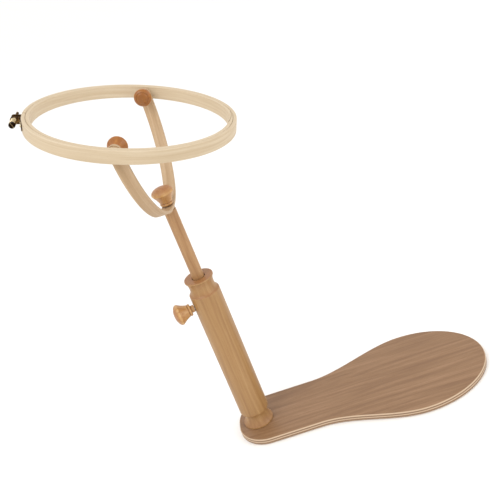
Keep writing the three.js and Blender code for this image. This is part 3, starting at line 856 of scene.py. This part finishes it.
# Where each point of the bar lies, and the path that it is bent to.
position = add_node(strip_tree, "GeometryNodeInputPosition")
spot = add_node(strip_tree, "ShaderNodeSeparateXYZ", {0: position}).outputs
path = add_node(strip_tree, "GeometryNodeMeshToCurve", {0: given["Geometry"]})
path_length = add_node(strip_tree, "GeometryNodeCurveLength", {0: path})
print("strip tree so far:", len(strip_tree.nodes), "nodes")

# %% [markdown]
# The tree then needs some arithmetic for each point: how far along the path it goes, how much the
# scarf thins the strip there, and how much the round end narrows it. Every sum is one node, so they
# are written as a table, and one loop adds them. A word in the table is an input or an earlier line.

# %% Add the sums of the strip tree

TINY = 2e-5  # metres, keeps a strip with no scarf or no round end at its full size
HAIRLINE = 0.02  # of a scarf's length, the glue line between its two slopes
THINNEST = 0.01  # of the thickness, at a scarf's tip
NARROWEST = 4e-4  # of the width squared, at the tip of a round end

known = {
    "unit": spot["X"],
    "across": spot["Y"],
    "deep": spot["Z"],
    "length": path_length,
    "thickness": given["Thickness"],
    "scarf": given["Scarf"],
    "round": given["Round end"],
}
SUMS = (
    # Along the path. The cosine crowds the stations together at both ends.
    ("turn", "MULTIPLY", "unit", math.pi),
    ("swing", "COSINE", "turn"),
    ("share", "MULTIPLY_ADD", "swing", -0.5, 0.5),
    ("along", "MULTIPLY", "share", "length"),
    ("to end", "SUBTRACT", "length", "along"),
    # The scarf's slope at the start, from almost nothing to 1, and the same at the end.
    ("glue line", "MULTIPLY", "scarf", HAIRLINE),
    ("scarf run", "MAXIMUM", "scarf", TINY / 2),
    ("start", "ADD", "along", TINY),
    ("start", "SUBTRACT", "start", "glue line"),
    ("start", "DIVIDE", "start", "scarf run"),
    ("start", "MINIMUM", "start", 1),
    ("start", "MAXIMUM", "start", THINNEST),
    ("end", "ADD", "to end", TINY),
    ("end", "SUBTRACT", "end", "glue line"),
    ("end", "DIVIDE", "end", "scarf run"),
    ("end", "MINIMUM", "end", 1),
    ("end", "MAXIMUM", "end", THINNEST),
    # The start is thinned towards one face and the end towards the other.
    ("half", "MULTIPLY", "thickness", 0.5),
    ("risen", "ADD", "deep", "half"),
    ("risen", "MULTIPLY", "risen", "start"),
    ("risen", "SUBTRACT", "risen", "half"),
    ("sunk", "SUBTRACT", "half", "risen"),
    ("sunk", "MULTIPLY", "sunk", "end"),
    ("sunk", "SUBTRACT", "half", "sunk"),
    # The round end narrows the width to the chord of a circle.
    ("nearest", "MINIMUM", "along", "to end"),
    ("nearest", "ADD", "nearest", TINY),
    ("round run", "MAXIMUM", "round", TINY / 2),
    ("inside", "DIVIDE", "nearest", "round run"),
    ("inside", "SUBTRACT", 1, "inside"),
    ("inside", "MAXIMUM", "inside", 0),
    ("chord", "MULTIPLY", "inside", "inside"),
    ("chord", "SUBTRACT", 1, "chord"),
    ("chord", "MAXIMUM", "chord", NARROWEST),
    ("chord", "SQRT", "chord"),
    ("wide", "MULTIPLY", "across", "chord"),
)
for name, operation, *terms in SUMS:
    inputs = {number: known.get(term, term) for number, term in enumerate(terms)}
    known[name] = add_node(strip_tree, "ShaderNodeMath", inputs, operation=operation)
print(len(SUMS), "sums added")

# %% [markdown]
# The last part stores the straight coordinates as the grain and bends the bar. Sample Curve gives the
# point and the direction of the path, and the two other directions follow from the plane that the
# path lies in.

# %% Finish the strip tree

straight = add_node(strip_tree, "ShaderNodeCombineXYZ", {0: known["along"], 1: spot["Y"], 2: spot["Z"]})
marked = add_node(
    strip_tree,
    "GeometryNodeStoreNamedAttribute",
    {"Geometry": bar, "Name": "grain", "Value": straight},
    data_type="FLOAT_VECTOR",
    domain="POINT",
)
stop = {"Curves": path, "Length": known["along"]}
walk = add_node(strip_tree, "GeometryNodeSampleCurve", stop, mode="LENGTH")
plane = {0: walk.outputs["Tangent"], 1: given["Across"]}
outward = add_node(strip_tree, "ShaderNodeVectorMath", plane, operation="CROSS_PRODUCT")
sideways, depthways = (
    add_node(strip_tree, "ShaderNodeVectorMath", {0: direction, "Scale": known[amount]}, operation="SCALE")
    for direction, amount in ((given["Across"], "wide"), (outward, "sunk"))
)
offset = add_node(strip_tree, "ShaderNodeVectorMath", {0: sideways, 1: depthways})
place = add_node(strip_tree, "ShaderNodeVectorMath", {0: walk.outputs["Position"], 1: offset})
bent = add_node(strip_tree, "GeometryNodeSetPosition", {"Geometry": marked, "Position": place})
close_tree(strip_tree, bent, given["Material"], result)
print("strip tree:", len(strip_tree.nodes), "nodes")

# %% [markdown]
# ## The path of a strip
#
# A path is a row of points joined by edges, in the frame of the piece. The function below lays the
# points down, runs the tree and hands back the baked strip.

# %% Bend a strip


def bent_strip(name, path_points, placing, width, thickness, edge, material, count, scarf=0, round_end=0):
    """Bends one strip along points in a frame's XY plane. Sizes are in millimetres."""
    mesh = bpy.data.meshes.new(name)
    spots = [placing @ (Vector((x, y, 0)) * MM) for x, y in path_points]
    mesh.from_pydata(spots, [(number, number + 1) for number in range(len(spots) - 1)], [])
    values = {
        "Width": width * MM,
        "Thickness": thickness * MM,
        "Edge": edge * MM,
        "Stations": count,
        "Across": list(placing.col[2].xyz),
        "Scarf": scarf * MM,
        "Round end": round_end * MM,
        "Material": material,
    }
    return run_tree(new_piece(name, mesh), strip_tree, values)


print("ready to bend")

# %% [markdown]
# ## The rings
#
# The inner ring is one strip whose ends are scarfed and glued, so a long thin line crosses its edge
# where the ends overlap. The outer ring is the same strip with its ends left apart at the tensioner.
# Each ring is a path round a circle. The inner one runs a little more than a full turn, by the
# length of its scarf.

# %% Bend the rings

ring_low, ring_high = corners("inner_ring", hoop_frame)
ring_height = ring_high.z - ring_low.z
inner_radii, outer_radii = radii("inner_ring", hoop_frame), radii("outer_ring", split_frame)
# The frame's rings have flat sides, so their smallest radius lies at the middle of a side.
inner_face = inner_radii[0]
ring_wall = inner_radii[1] - inner_face
scarf_length = 46.0
scarf_at = -6.0  # degrees round the hoop to where the scarf starts
split_width = 2.6


def circle_path(radius, start, stop, count=360):
    """Points round a circle between two angles in degrees."""
    turns = [math.radians(start + (stop - start) * step / count) for step in range(count + 1)]
    return [(radius * math.cos(t), radius * math.sin(t)) for t in turns]


middle = inner_face + ring_wall / 2
overlap = math.degrees(scarf_length / middle)
inner_ring = bent_strip(
    "inner_ring_strip",
    circle_path(middle, scarf_at, scarf_at + 360 + overlap),
    hoop_frame,
    ring_height,
    ring_wall,
    0.8,
    hoop_beech,
    560,
    scarf=scarf_length,
)
outer_middle = (outer_radii[0] + outer_radii[1]) / 2
outer_wall = outer_radii[1] - outer_radii[0]
half_split = math.degrees(split_width / 2 / outer_middle)
outer_ring = bent_strip(
    "outer_ring_strip",
    circle_path(outer_middle, half_split, 360 - half_split),
    split_frame,
    ring_height,
    outer_wall,
    0.8,
    hoop_beech,
    560,
)
print(f"walls {ring_wall:.2f} and {outer_wall:.2f} mm, {ring_height:.1f} mm high")

# %% [markdown]
# ## Pivot screws
#
# A countersunk screw goes through the inner ring at each side, from outside, then through the
# spacer and the arm into the knob. The holes show only when the outer ring is lifted off, so they
# are real holes. The foot screws under the board have heads of the same kind, so one function makes all four.

# %% Drill the ring and make the screws


def countersunk(head, head_height, shank, length, gap=0.0, relief=0.0):
    """Profile of a countersunk screw with its head at 0, or of its hole when gap is over 0."""
    outline = [(0, -relief), (head + gap, -relief), (head + gap, 0.15), (shank + gap, head_height)]
    outline += [(shank + gap, length - shank + gap), (shank / 2 + gap, length + gap)]
    return outline + [(0, length + gap)]


def cross_screw(name, node, placing, head, slot, body):
    """A countersunk screw with a cross in its head, where the frame's own screw is."""
    low, high = corners(node, placing)
    seat = placing @ Matrix.Translation(Vector(((low.x + high.x) / 2, (low.y + high.y) / 2, low.z)) * MM)
    piece = new_piece(name, turned_mesh(countersunk(*head, high.z - low.z), seat, 40))
    bars = [box_mesh((-slot[0], -slot[1], -1), slot, turned_by(turn, "Z", seat)) for turn in (45, 135)]
    cut_with(piece, bars)
    finish(piece, zinc_steel)
    mount(piece, body, "steel", node)


# A head's radius and height with its shank's radius, and half the length and width of its cross
# with the depth. A hole is as long as the drill, a little wider, and open above the head.
pivot_head, pivot_cross = (3.7, 2.0, 1.9), (2.2, 0.4, 1.0)
DRILL = {"length": 30, "gap": 0.3, "relief": 5}

bolt_low = corners("pivot_bolt_far", far_frame)[0].z
for side, placing in (("far", far_frame), ("near", near_frame)):
    seat = placing @ Matrix.Translation(UP * bolt_low * MM)
    cut_with(inner_ring, [turned_mesh(countersunk(*pivot_head, **DRILL), seat, 40)])
    cross_screw(f"{side}_pivot_screw", f"pivot_bolt_{side}", placing, pivot_head, pivot_cross, "hoop")

finish(inner_ring, hoop_beech, 40)
mount(inner_ring, "hoop", "hoop_beech", "inner_ring")
finish(outer_ring, hoop_beech, 40)
mount(outer_ring, "outer_ring", "hoop_beech", "outer_ring")

# %% [markdown]
# ## The yoke
#
# The yoke is a thicker strip, bent into a deep U with a short level stretch under its knob. Its
# ends are rounded to the width of the strip, round each pivot.
# It runs through the same strip tree, along two straight ends and two cubic curves. Its holes are
# drilled after bending, because a hole bent with the strip would come out oval.

# %% Bend the yoke

yoke_plane = frame_matrix(hoop_centre, pivot_axis, UP, pivot_axis.cross(UP))
yoke_low, yoke_high = corners("yoke", yoke_plane)
yoke_width, yoke_thickness = yoke_high.z - yoke_low.z, 4.0
span = yoke_high.x - yoke_thickness / 2
depth = -yoke_low.y - yoke_thickness / 2
flat, bottom_fullness, side_fullness = 4.0, 0.55, 0.48

handle = flat + bottom_fullness * (span - flat)
left = [(-span, yoke_high.y), (-span, 0)]
left += bezier((-span, 0), (-span, -side_fullness * depth), (-handle, -depth), (-flat, -depth), 60)
path = left + [(-x, y) for x, y in reversed(left)]
yoke = bent_strip(
    "bent_yoke", path, yoke_plane, yoke_width, yoke_thickness, 0.7, yoke_beech, 420, round_end=yoke_width / 2
)
arm_hole_radius, knob_hole_radius, beyond = 2.2, 3.2, 20
arm_holes = bore(arm_hole_radius, -span - beyond, span + beyond, far_frame)
knob_hole = bore(knob_hole_radius, -depth - beyond, -depth + beyond, yoke_frame)
cut_with(yoke, [arm_holes, knob_hole])
finish(yoke, yoke_beech, 40)
mount(yoke, "yoke", "yoke_beech", "yoke")

# %% [markdown]
# ## The tensioner's brackets
#
# Two brass strips are bent to follow the outer ring and turned out into an ear at the split. They
# go through the strip tree too, because sheet metal bends as wood does: the path comes in along the
# ear, takes a tight bend and follows the ring. The far bracket is the near one's mirror, so only
# the path is mirrored and the mesh never turns inside out.

# %% Bend the brackets

screw_spot = split_frame.inverted() @ Vector(joints["tension_turn"]["pos_m"]) / MM
screw_frame = turned_by(-90, "X", split_frame @ Matrix.Translation(Vector((screw_spot.x, 0, 0)) * MM))
plate_low, plate_high = corners("tension_bracket_near", split_frame)
plate_thickness, plate_length, ear_gap = 0.9, 30.0, 9.0
plate_radius = outer_radii[1] + 0.3 + plate_thickness / 2
ear_middle = ear_gap / 2 + plate_thickness / 2
bend_radius = 1.5
ear_round, ear_hole = 3.4, 2.0


def bracket_path(side):
    """From the ear's tip to the plate's end, on the near side (1) or the far side (-1)."""
    corner = math.sqrt(plate_radius**2 - ear_middle**2)
    start = math.asin((ear_middle + bend_radius) / plate_radius)
    stop = math.asin(ear_gap / 2 / plate_radius) + plate_length / plate_radius
    on_ring = (plate_radius * math.cos(start), plate_radius * math.sin(start))
    points = [(plate_high.x, ear_middle), (plate_high.x - 2, ear_middle), (corner + bend_radius, ear_middle)]
    points += bezier(points[-1], (corner + 0.4, ear_middle), (corner, ear_middle + 0.4), on_ring, 8)
    steps = [start + (stop - start) * step / 24 for step in range(1, 25)]
    points += [(plate_radius * math.cos(t), plate_radius * math.sin(t)) for t in steps]
    return [(x, side * y) for x, y in points]


for side, sign in (("near", 1), ("far", -1)):
    bracket = bent_strip(
        f"{side}_bracket",
        bracket_path(sign),
        split_frame,
        plate_high.z - plate_low.z,
        plate_thickness,
        0.2,
        aged_brass,
        160,
        round_end=ear_round,
    )
    ear = sign * ear_gap / 2
    cut_with(bracket, [bore(ear_hole, ear - 2, ear + 2, screw_frame)])
    finish(bracket, aged_brass, 40)
    mount(bracket, "outer_ring", "brass", f"tension_bracket_{side}")

# %% [markdown]
# ## Rivets
#
# Two brass pins hold each bracket. They are four copies of one domed pin, so Geometry Nodes sets an
# instance on each of four points and turns it to face away from the ring. A dome made by hand and
# copied in code would do for four, but the tree stays right if the spacing changes.

# %% Set the rivets

rivet_tree, given, result = geometry_tree(
    "rivets", {"Head": "Float", "Height": "Float", "Material": "Material"}
)
sphere = {"Segments": 24, "Rings": 14, "Radius": given["Head"]}
ball = add_node(rivet_tree, "GeometryNodeMeshUVSphere", sphere)
squash = add_node(rivet_tree, "ShaderNodeMath", {0: given["Height"], 1: given["Head"]}, operation="DIVIDE")
flatten = add_node(rivet_tree, "ShaderNodeCombineXYZ", {0: 1.0, 1: 1.0, 2: squash})
dome = add_node(rivet_tree, "GeometryNodeTransform", {"Geometry": ball, "Scale": flatten})
facing = add_node(rivet_tree, "GeometryNodeInputNamedAttribute", {"Name": "facing"}, data_type="FLOAT_VECTOR")
aimed = add_node(rivet_tree, "FunctionNodeAlignRotationToVector", {"Vector": facing}, axis="Z")
spots = add_node(rivet_tree, "GeometryNodeMeshToPoints", {"Mesh": given["Geometry"]})
copies = {"Points": spots, "Instance": dome, "Rotation": aimed}
pins = add_node(rivet_tree, "GeometryNodeInstanceOnPoints", copies)
close_tree(rivet_tree, pins, given["Material"], result)

pin_spacing = 12.0
first_pin = (ear_gap + plate_length - pin_spacing) / 2 / outer_radii[1]
pin_angles = [sign * (first_pin + step * pin_spacing / outer_radii[1]) for sign in (-1, 1) for step in (0, 1)]
pin_radius = plate_radius + plate_thickness / 2
mesh = bpy.data.meshes.new("rivets")
outwards = [Vector((math.cos(angle), math.sin(angle), 0)) for angle in pin_angles]
mesh.from_pydata([way * pin_radius * MM for way in outwards], [], [])
write_vectors(mesh, "facing", outwards)
rivets = run_tree(
    new_piece("bracket_rivets", mesh),
    rivet_tree,
    {"Head": 2.0 * MM, "Height": 1.0 * MM, "Material": rubbed_brass},
)
rivets.data.transform(split_frame)
finish(rivets, rubbed_brass)
mount(rivets, "outer_ring", "brass", *(f"bracket_pin_{number}" for number in (1, 2, 3, 4)))

# %% [markdown]
# ## The tension screw
#
# The screw has a long barrel head that is grooved round and knurled, so that fingers can turn it,
# with a slot in its end for a driver. Its thread runs through both ears and sticks out of the nut.
# A thread is a helix, which Geometry Nodes draws with a Spiral curve and a small section swept along
# it. The knurl is one rib, repeated round a circle, on every land but the last.

# %% Build the thread and knurl trees

thread_tree, given, result = geometry_tree(
    "thread",
    {"Radius": "Float", "Depth": "Float", "Length": "Float", "Pitch": "Float", "Material": "Material"},
)
root = add_node(thread_tree, "ShaderNodeMath", {0: given["Radius"], 1: given["Depth"]}, operation="SUBTRACT")
turns = add_node(thread_tree, "ShaderNodeMath", {0: given["Length"], 1: given["Pitch"]}, operation="DIVIDE")
coil = {"Resolution": 24, "Rotations": turns, "Height": given["Length"]}
helix = add_node(
    thread_tree, "GeometryNodeCurveSpiral", {**coil, "Start Radius": root, "End Radius": root}
)
ridge = add_node(thread_tree, "GeometryNodeCurvePrimitiveCircle", {"Resolution": 4, "Radius": given["Depth"]})
sweep = {"Curve": helix, "Profile Curve": ridge, "Fill Caps": True}
wound = add_node(thread_tree, "GeometryNodeCurveToMesh", sweep)
round_bar = {"Vertices": 32, "Radius": root, "Depth": given["Length"]}
core = add_node(thread_tree, "GeometryNodeMeshCylinder", round_bar)
half = add_node(thread_tree, "ShaderNodeMath", {0: given["Length"], 1: 0.5}, operation="MULTIPLY")
lift = add_node(thread_tree, "ShaderNodeCombineXYZ", {2: half})
standing = add_node(thread_tree, "GeometryNodeTransform", {"Geometry": core, "Translation": lift})
both = add_node(thread_tree, "GeometryNodeJoinGeometry", {0: wound})
thread_tree.links.new(standing.outputs[0], both.inputs[0])
close_tree(thread_tree, both, given["Material"], result)

knurl_tree, given, result = geometry_tree(
    "knurl", {"Radius": "Float", "Rib": "Float", "Land": "Float", "Ribs": "Int", "Material": "Material"}
)
row = {"Vertices": given["Ribs"], "Radius": given["Radius"]}
circle = add_node(knurl_tree, "GeometryNodeMeshCircle", row)
rib = {"Vertices": 6, "Radius": given["Rib"], "Depth": given["Land"]}
bar = add_node(knurl_tree, "GeometryNodeMeshCylinder", rib)
band = add_node(knurl_tree, "GeometryNodeInstanceOnPoints", {"Points": circle, "Instance": bar})
lands = add_node(knurl_tree, "GeometryNodeMeshToPoints", {"Mesh": given["Geometry"]})
bands = add_node(knurl_tree, "GeometryNodeInstanceOnPoints", {"Points": lands, "Instance": band})
close_tree(knurl_tree, bands, given["Material"], result)
print("thread and knurl:", len(thread_tree.nodes) + len(knurl_tree.nodes), "nodes")

# %% [markdown]
# The barrel itself is turned with four grooves, and its end is slotted. Fingers keep the lands
# bright, while old polish and painted shade darken the grooves, the last land and the end. That is
# written as the end attribute after the slot is cut, because the slot's own corners need it too.
# The thread rides with the barrel, because they are one screw.

# %% Make the screw

screw_low, screw_high = corners("tension_screw", screw_frame)
head_radius, head_length, grooves, groove = 4.0, 18.0, 4, 1.0
head_seat = screw_high.z - head_length
pitch = head_length / (grooves + 1)
seat_chamfer, end_chamfer = 0.4, 0.6
outline = [(0, head_seat), (head_radius - seat_chamfer, head_seat), (head_radius, head_seat + seat_chamfer)]
for number in range(1, grooves + 1):
    middle = head_seat + number * pitch
    outline += [
        (head_radius, middle - groove),
        (head_radius - groove, middle),
        (head_radius, middle + groove),
    ]
outline += [(head_radius, screw_high.z - end_chamfer), (head_radius - end_chamfer, screw_high.z)]
outline += [(0, screw_high.z)]
barrel = new_piece("tension_barrel", turned_mesh(outline, screw_frame, 56))
slot_half, slot_reach, slot_depth, slot_turn = 0.55, 8, 1.6, 35
slot_low = (-slot_half, -slot_reach, screw_high.z - slot_depth)
slot_high = (slot_half, slot_reach, screw_high.z + slot_depth)
cut_with(barrel, [box_mesh(slot_low, slot_high, turned_by(slot_turn, "Z", screw_frame))])
last_groove = screw_high.z - pitch
rubbed_depth, floor_margin = 0.2, 0.1
# The barrel's end attribute holds old polish and painted shade: dark in the grooves, on the last land and on
# the end.
polish_and_shade = barrel.data.attributes["end"].data
for vertex in barrel.data.vertices:
    spot = screw_frame.inverted() @ vertex.co / MM
    in_groove = math.hypot(spot.x, spot.y) < head_radius - rubbed_depth
    slot_floor = abs(spot.z - slot_low[2]) < floor_margin
    polish_and_shade[vertex.index].value = 1.0 if (in_groove or spot.z > last_groove) and not slot_floor else 0.0
finish(barrel, rubbed_brass)
mount(barrel, "tension_screw", "brass", "tension_screw")

# The thread's outer radius, its height and its pitch, in millimetres.
thread_radius, thread_depth, thread_pitch = 1.7, 0.28, 0.8
thread = run_tree(
    new_piece("tension_thread"),
    thread_tree,
    {
        "Radius": thread_radius * MM,
        "Depth": thread_depth * MM,
        "Length": (head_seat - screw_low.z) * MM,
        "Pitch": thread_pitch * MM,
        "Material": aged_brass,
    },
)
thread.data.transform(screw_frame @ Matrix.Translation(UP * screw_low.z * MM))
finish(thread, aged_brass)
mount(thread, "tension_screw", "brass")

# Each rib is a thin bar sunk halfway into the barrel, and ends short of the grooves.
rib_radius, rib_sunk, rib_gap = 0.26, 0.14, 0.3
mesh = bpy.data.meshes.new("knurl")
mesh.from_pydata([UP * (head_seat + (number + 0.5) * pitch) * MM for number in range(grooves)], [], [])
knurl = run_tree(
    new_piece("tension_knurl", mesh),
    knurl_tree,
    {
        "Radius": (head_radius - rib_sunk) * MM,
        "Rib": rib_radius * MM,
        "Land": (pitch - 2 * groove - rib_gap) * MM,
        "Ribs": 30,
        "Material": rubbed_brass,
    },
)
knurl.data.transform(screw_frame)
finish(knurl, rubbed_brass)
mount(knurl, "tension_screw", "brass")

# %% [markdown]
# ## The square nut
#
# The nut behind the far ear is square, with its corners chamfered on the lathe. A box crossed with
# a turned blank gives that shape, as it is made.

# %% Make the nut

nut_low, nut_high = corners("tension_nut", screw_frame)
nut = new_piece("square_nut", box_mesh(nut_low, nut_high, screw_frame))
face_radius, corner_radius, chamfer, beyond = 3.6, 4.7, 0.7, 1
blank = [(0, nut_low.z), (face_radius, nut_low.z), (corner_radius, nut_low.z + chamfer)]
blank += [(corner_radius, nut_high.z + beyond), (0, nut_high.z + beyond)]
cut_with(nut, [turned_mesh(blank, screw_frame, 48)], "INTERSECT")
cut_with(nut, [bore(1.75, nut_low.z - 2, nut_high.z + 2, screw_frame)])
soft_edges = nut.modifiers.new("soft edges", "BEVEL")
soft_edges.width, soft_edges.segments, soft_edges.limit_method = 0.15 * MM, 2, "ANGLE"
bake(nut)
finish(nut, aged_brass)
mount(nut, "outer_ring", "brass", "tension_nut")

# %% [markdown]
# ## The board
#
# The paddle is cut from plywood and its edges are rounded over. The outline is a neck with a round
# end, an S-shaped flare on each side and an oval seat end.
# The edge is a short profile of inset and height, laid round the outline: a rounding below, a
# hairline between each two layers, and a rounding above. The hairlines are in the mesh, because the
# edge is where one sees that this is plywood.

# %% Draw the outline

neck, neck_end, corner = 51.0, -board_low.x, 46.0
flare_start, flare_end, seat_length = 92.0, 243.0, board_high.x - 243.0
full = board_high.y
third = (flare_end - flare_start) / 3
corner_x, corner_y = corner - neck_end, neck - corner
half_side = [(corner_x + (flare_start - corner_x) * step / 12, -neck) for step in range(13)]
half_side += bezier(
    (flare_start, -neck), (flare_start + third, -neck), (flare_end - third, -full), (flare_end, -full), 40
)
half_side += arc((flare_end, 0), (seat_length, full), -90, 0, 36)[:-1]
round_end = arc((corner_x, corner_y), (corner, corner), 90, 180, 22)
round_end += [(x, -y) for x, y in reversed(round_end)]
outline = half_side + [(board_high.x, 0.0)] + [(x, -y) for x, y in reversed(half_side)]
outline += round_end[:-1]


def inset(points, distance):
    """The outline moved inwards, square to itself."""
    moved = []
    for number, (x, y) in enumerate(points):
        before, after = points[number - 1], points[(number + 1) % len(points)]
        along_x, along_y = after[0] - before[0], after[1] - before[1]
        length = math.hypot(along_x, along_y)
        moved.append((x - distance * along_y / length, y + distance * along_x / length))
    return moved


print("outline:", len(outline), "points")

# %% Lay the edge round it

edge = 2.0
hairline = 0.14
profile = [(edge, 0.0)] + [(edge - x, edge + y) for x, y in arc((0, 0), (edge, edge), -90, 0, 6)]
for number in range(1, PLIES):
    level = board_top * number / PLIES
    profile += [(0, level - hairline), (hairline, level), (0, level + hairline)]
profile += [(edge - x, board_top - edge + y) for x, y in arc((0, 0), (edge, edge), 0, 90, 6)]
profile = sorted(set((round(x, 4), round(y, 4)) for x, y in profile), key=lambda station: station[1])
points = [Vector((x, y, height)) * MM for amount, height in profile for x, y in inset(outline, amount)]
count = len(outline)
faces = [list(range(count))[::-1], list(range(len(points) - count, len(points)))]
for level in range(len(profile) - 1):
    for step in range(count):
        low, following = level * count + step, level * count + (step + 1) % count
        faces.append((low, following, following + count, low + count))
mesh = bpy.data.meshes.new("board")
mesh.from_pydata(points, [], faces)
write_vectors(mesh, "grain", points)
board = new_piece("plywood_board", mesh)
foot_head, foot_cross = (4.0, 2.2, 2.0), (2.3, 0.45, 1.1)
holes = []
for side in ("back", "front"):
    low, high = corners(f"foot_screw_{side}", stand_frame)
    seat = Matrix.Translation(Vector(((low.x + high.x) / 2, 0, low.z)) * MM)
    holes.append(turned_mesh(countersunk(*foot_head, **DRILL), seat, 40))
cut_with(board, holes)
finish(board, board_beech, 35)
mount(board, "base", "board_beech", "base_board")
for side in ("back", "front"):
    cross_screw(f"{side}_foot_screw", f"foot_screw_{side}", stand_frame, foot_head, foot_cross, "base")

# %% [markdown]
# ## The pieces that stay as they are
#
# The studs and the threaded inserts sit inside the wood, and their plain shapes are right. They
# keep the frame's own meshes and only get their metal.

# %% Give the hidden metal its finish

KEPT = {
    "thumb_insert": clean_brass,
    "yoke_knob_insert": clean_brass,
    "pivot_knob_insert_far": clean_brass,
    "pivot_knob_insert_near": clean_brass,
    "thumb_stud": zinc_steel,
    "rod_stud": zinc_steel,
}
for node, material in KEPT.items():
    nodes[node].data.materials.clear()
    nodes[node].data.materials.append(material)
print("kept:", ", ".join(KEPT))

# %% [markdown]
# ## Floor, light and camera
#
# A product like this is shown on white, so the floor is a plain pale sheet and the light is broad
# and soft: a bright surround, a large lamp on the left and a weaker one on the right. The column
# then has a bright side, a slightly darker middle and a lit far edge.
# The camera looks down from the front and is rolled, which is why the stand leans in the view.

# %% Floor and lamps

FLOOR_SIZE = 40  # metres, so that its edge is never in view
FLOOR_DROP = 0.4  # mm, so that the board's underside does not flicker on it
SURROUND = 1.12  # a little over 1, so that the pale floor comes out white

sheet = bmesh.new()
bmesh.ops.create_grid(sheet, x_segments=1, y_segments=1, size=FLOOR_SIZE)
floor_mesh = bpy.data.meshes.new("floor")
sheet.to_mesh(floor_mesh)
sheet.free()
floor = new_piece("floor", floor_mesh)
floor.location.z = -FLOOR_DROP * MM
# Uncoated paper: white with no shine, so that the stand's shadow on it stays soft.
paper, _, paper_shader = new_material("white paper sweep")
paper_shader.inputs["Base Color"].default_value = linear("#f4f3f1")
paper_shader.inputs["Roughness"].default_value = 0.9
floor.data.materials.append(paper)

world = bpy.data.worlds.new("bright surround")
world.use_nodes = True
background = world.node_tree.nodes["Background"]
background.inputs["Color"].default_value = (1, 1, 1, 1)
background.inputs["Strength"].default_value = SURROUND
scene.world = world
scene.view_settings.view_transform = "Standard"


def lamp(name, spot, target, size, power):
    """A square soft box that looks at a point."""
    data = bpy.data.lights.new(name, "AREA")
    data.shape, data.size, data.energy = "SQUARE", size, power
    light = bpy.data.objects.new(name, data)
    light.location = spot
    light.rotation_euler = (Vector(target) - Vector(spot)).to_track_quat("-Z", "Y").to_euler()
    scene.collection.objects.link(light)


lamp("key soft box", (-1.0, -1.1, 2.2), (0.05, 0, 0.3), 1.2, 17)
lamp("fill soft box", (1.8, -0.7, 1.0), (0.05, 0, 0.25), 1.2, 8)

# %% Camera

VIEW_TURN, VIEW_DROP, VIEW_ROLL = 4.870, 25.989, -20.943  # degrees
VIEW_POINT = (0.15625, -0.89854, 0.72619)  # metres
camera_data = bpy.data.cameras.new("front camera")
camera_data.lens = 53.28
camera_data.sensor_width = 36
camera = bpy.data.objects.new("front camera", camera_data)
aim = Matrix.Rotation(math.radians(VIEW_TURN), 4, "Z") @ Matrix.Rotation(math.radians(90 - VIEW_DROP), 4, "X")
aim = aim @ Matrix.Rotation(math.radians(VIEW_ROLL), 4, "Z")
camera.matrix_world = Matrix.Translation(VIEW_POINT) @ aim
scene.collection.objects.link(camera)
scene.camera = camera
print("lens", camera_data.lens, "mm")
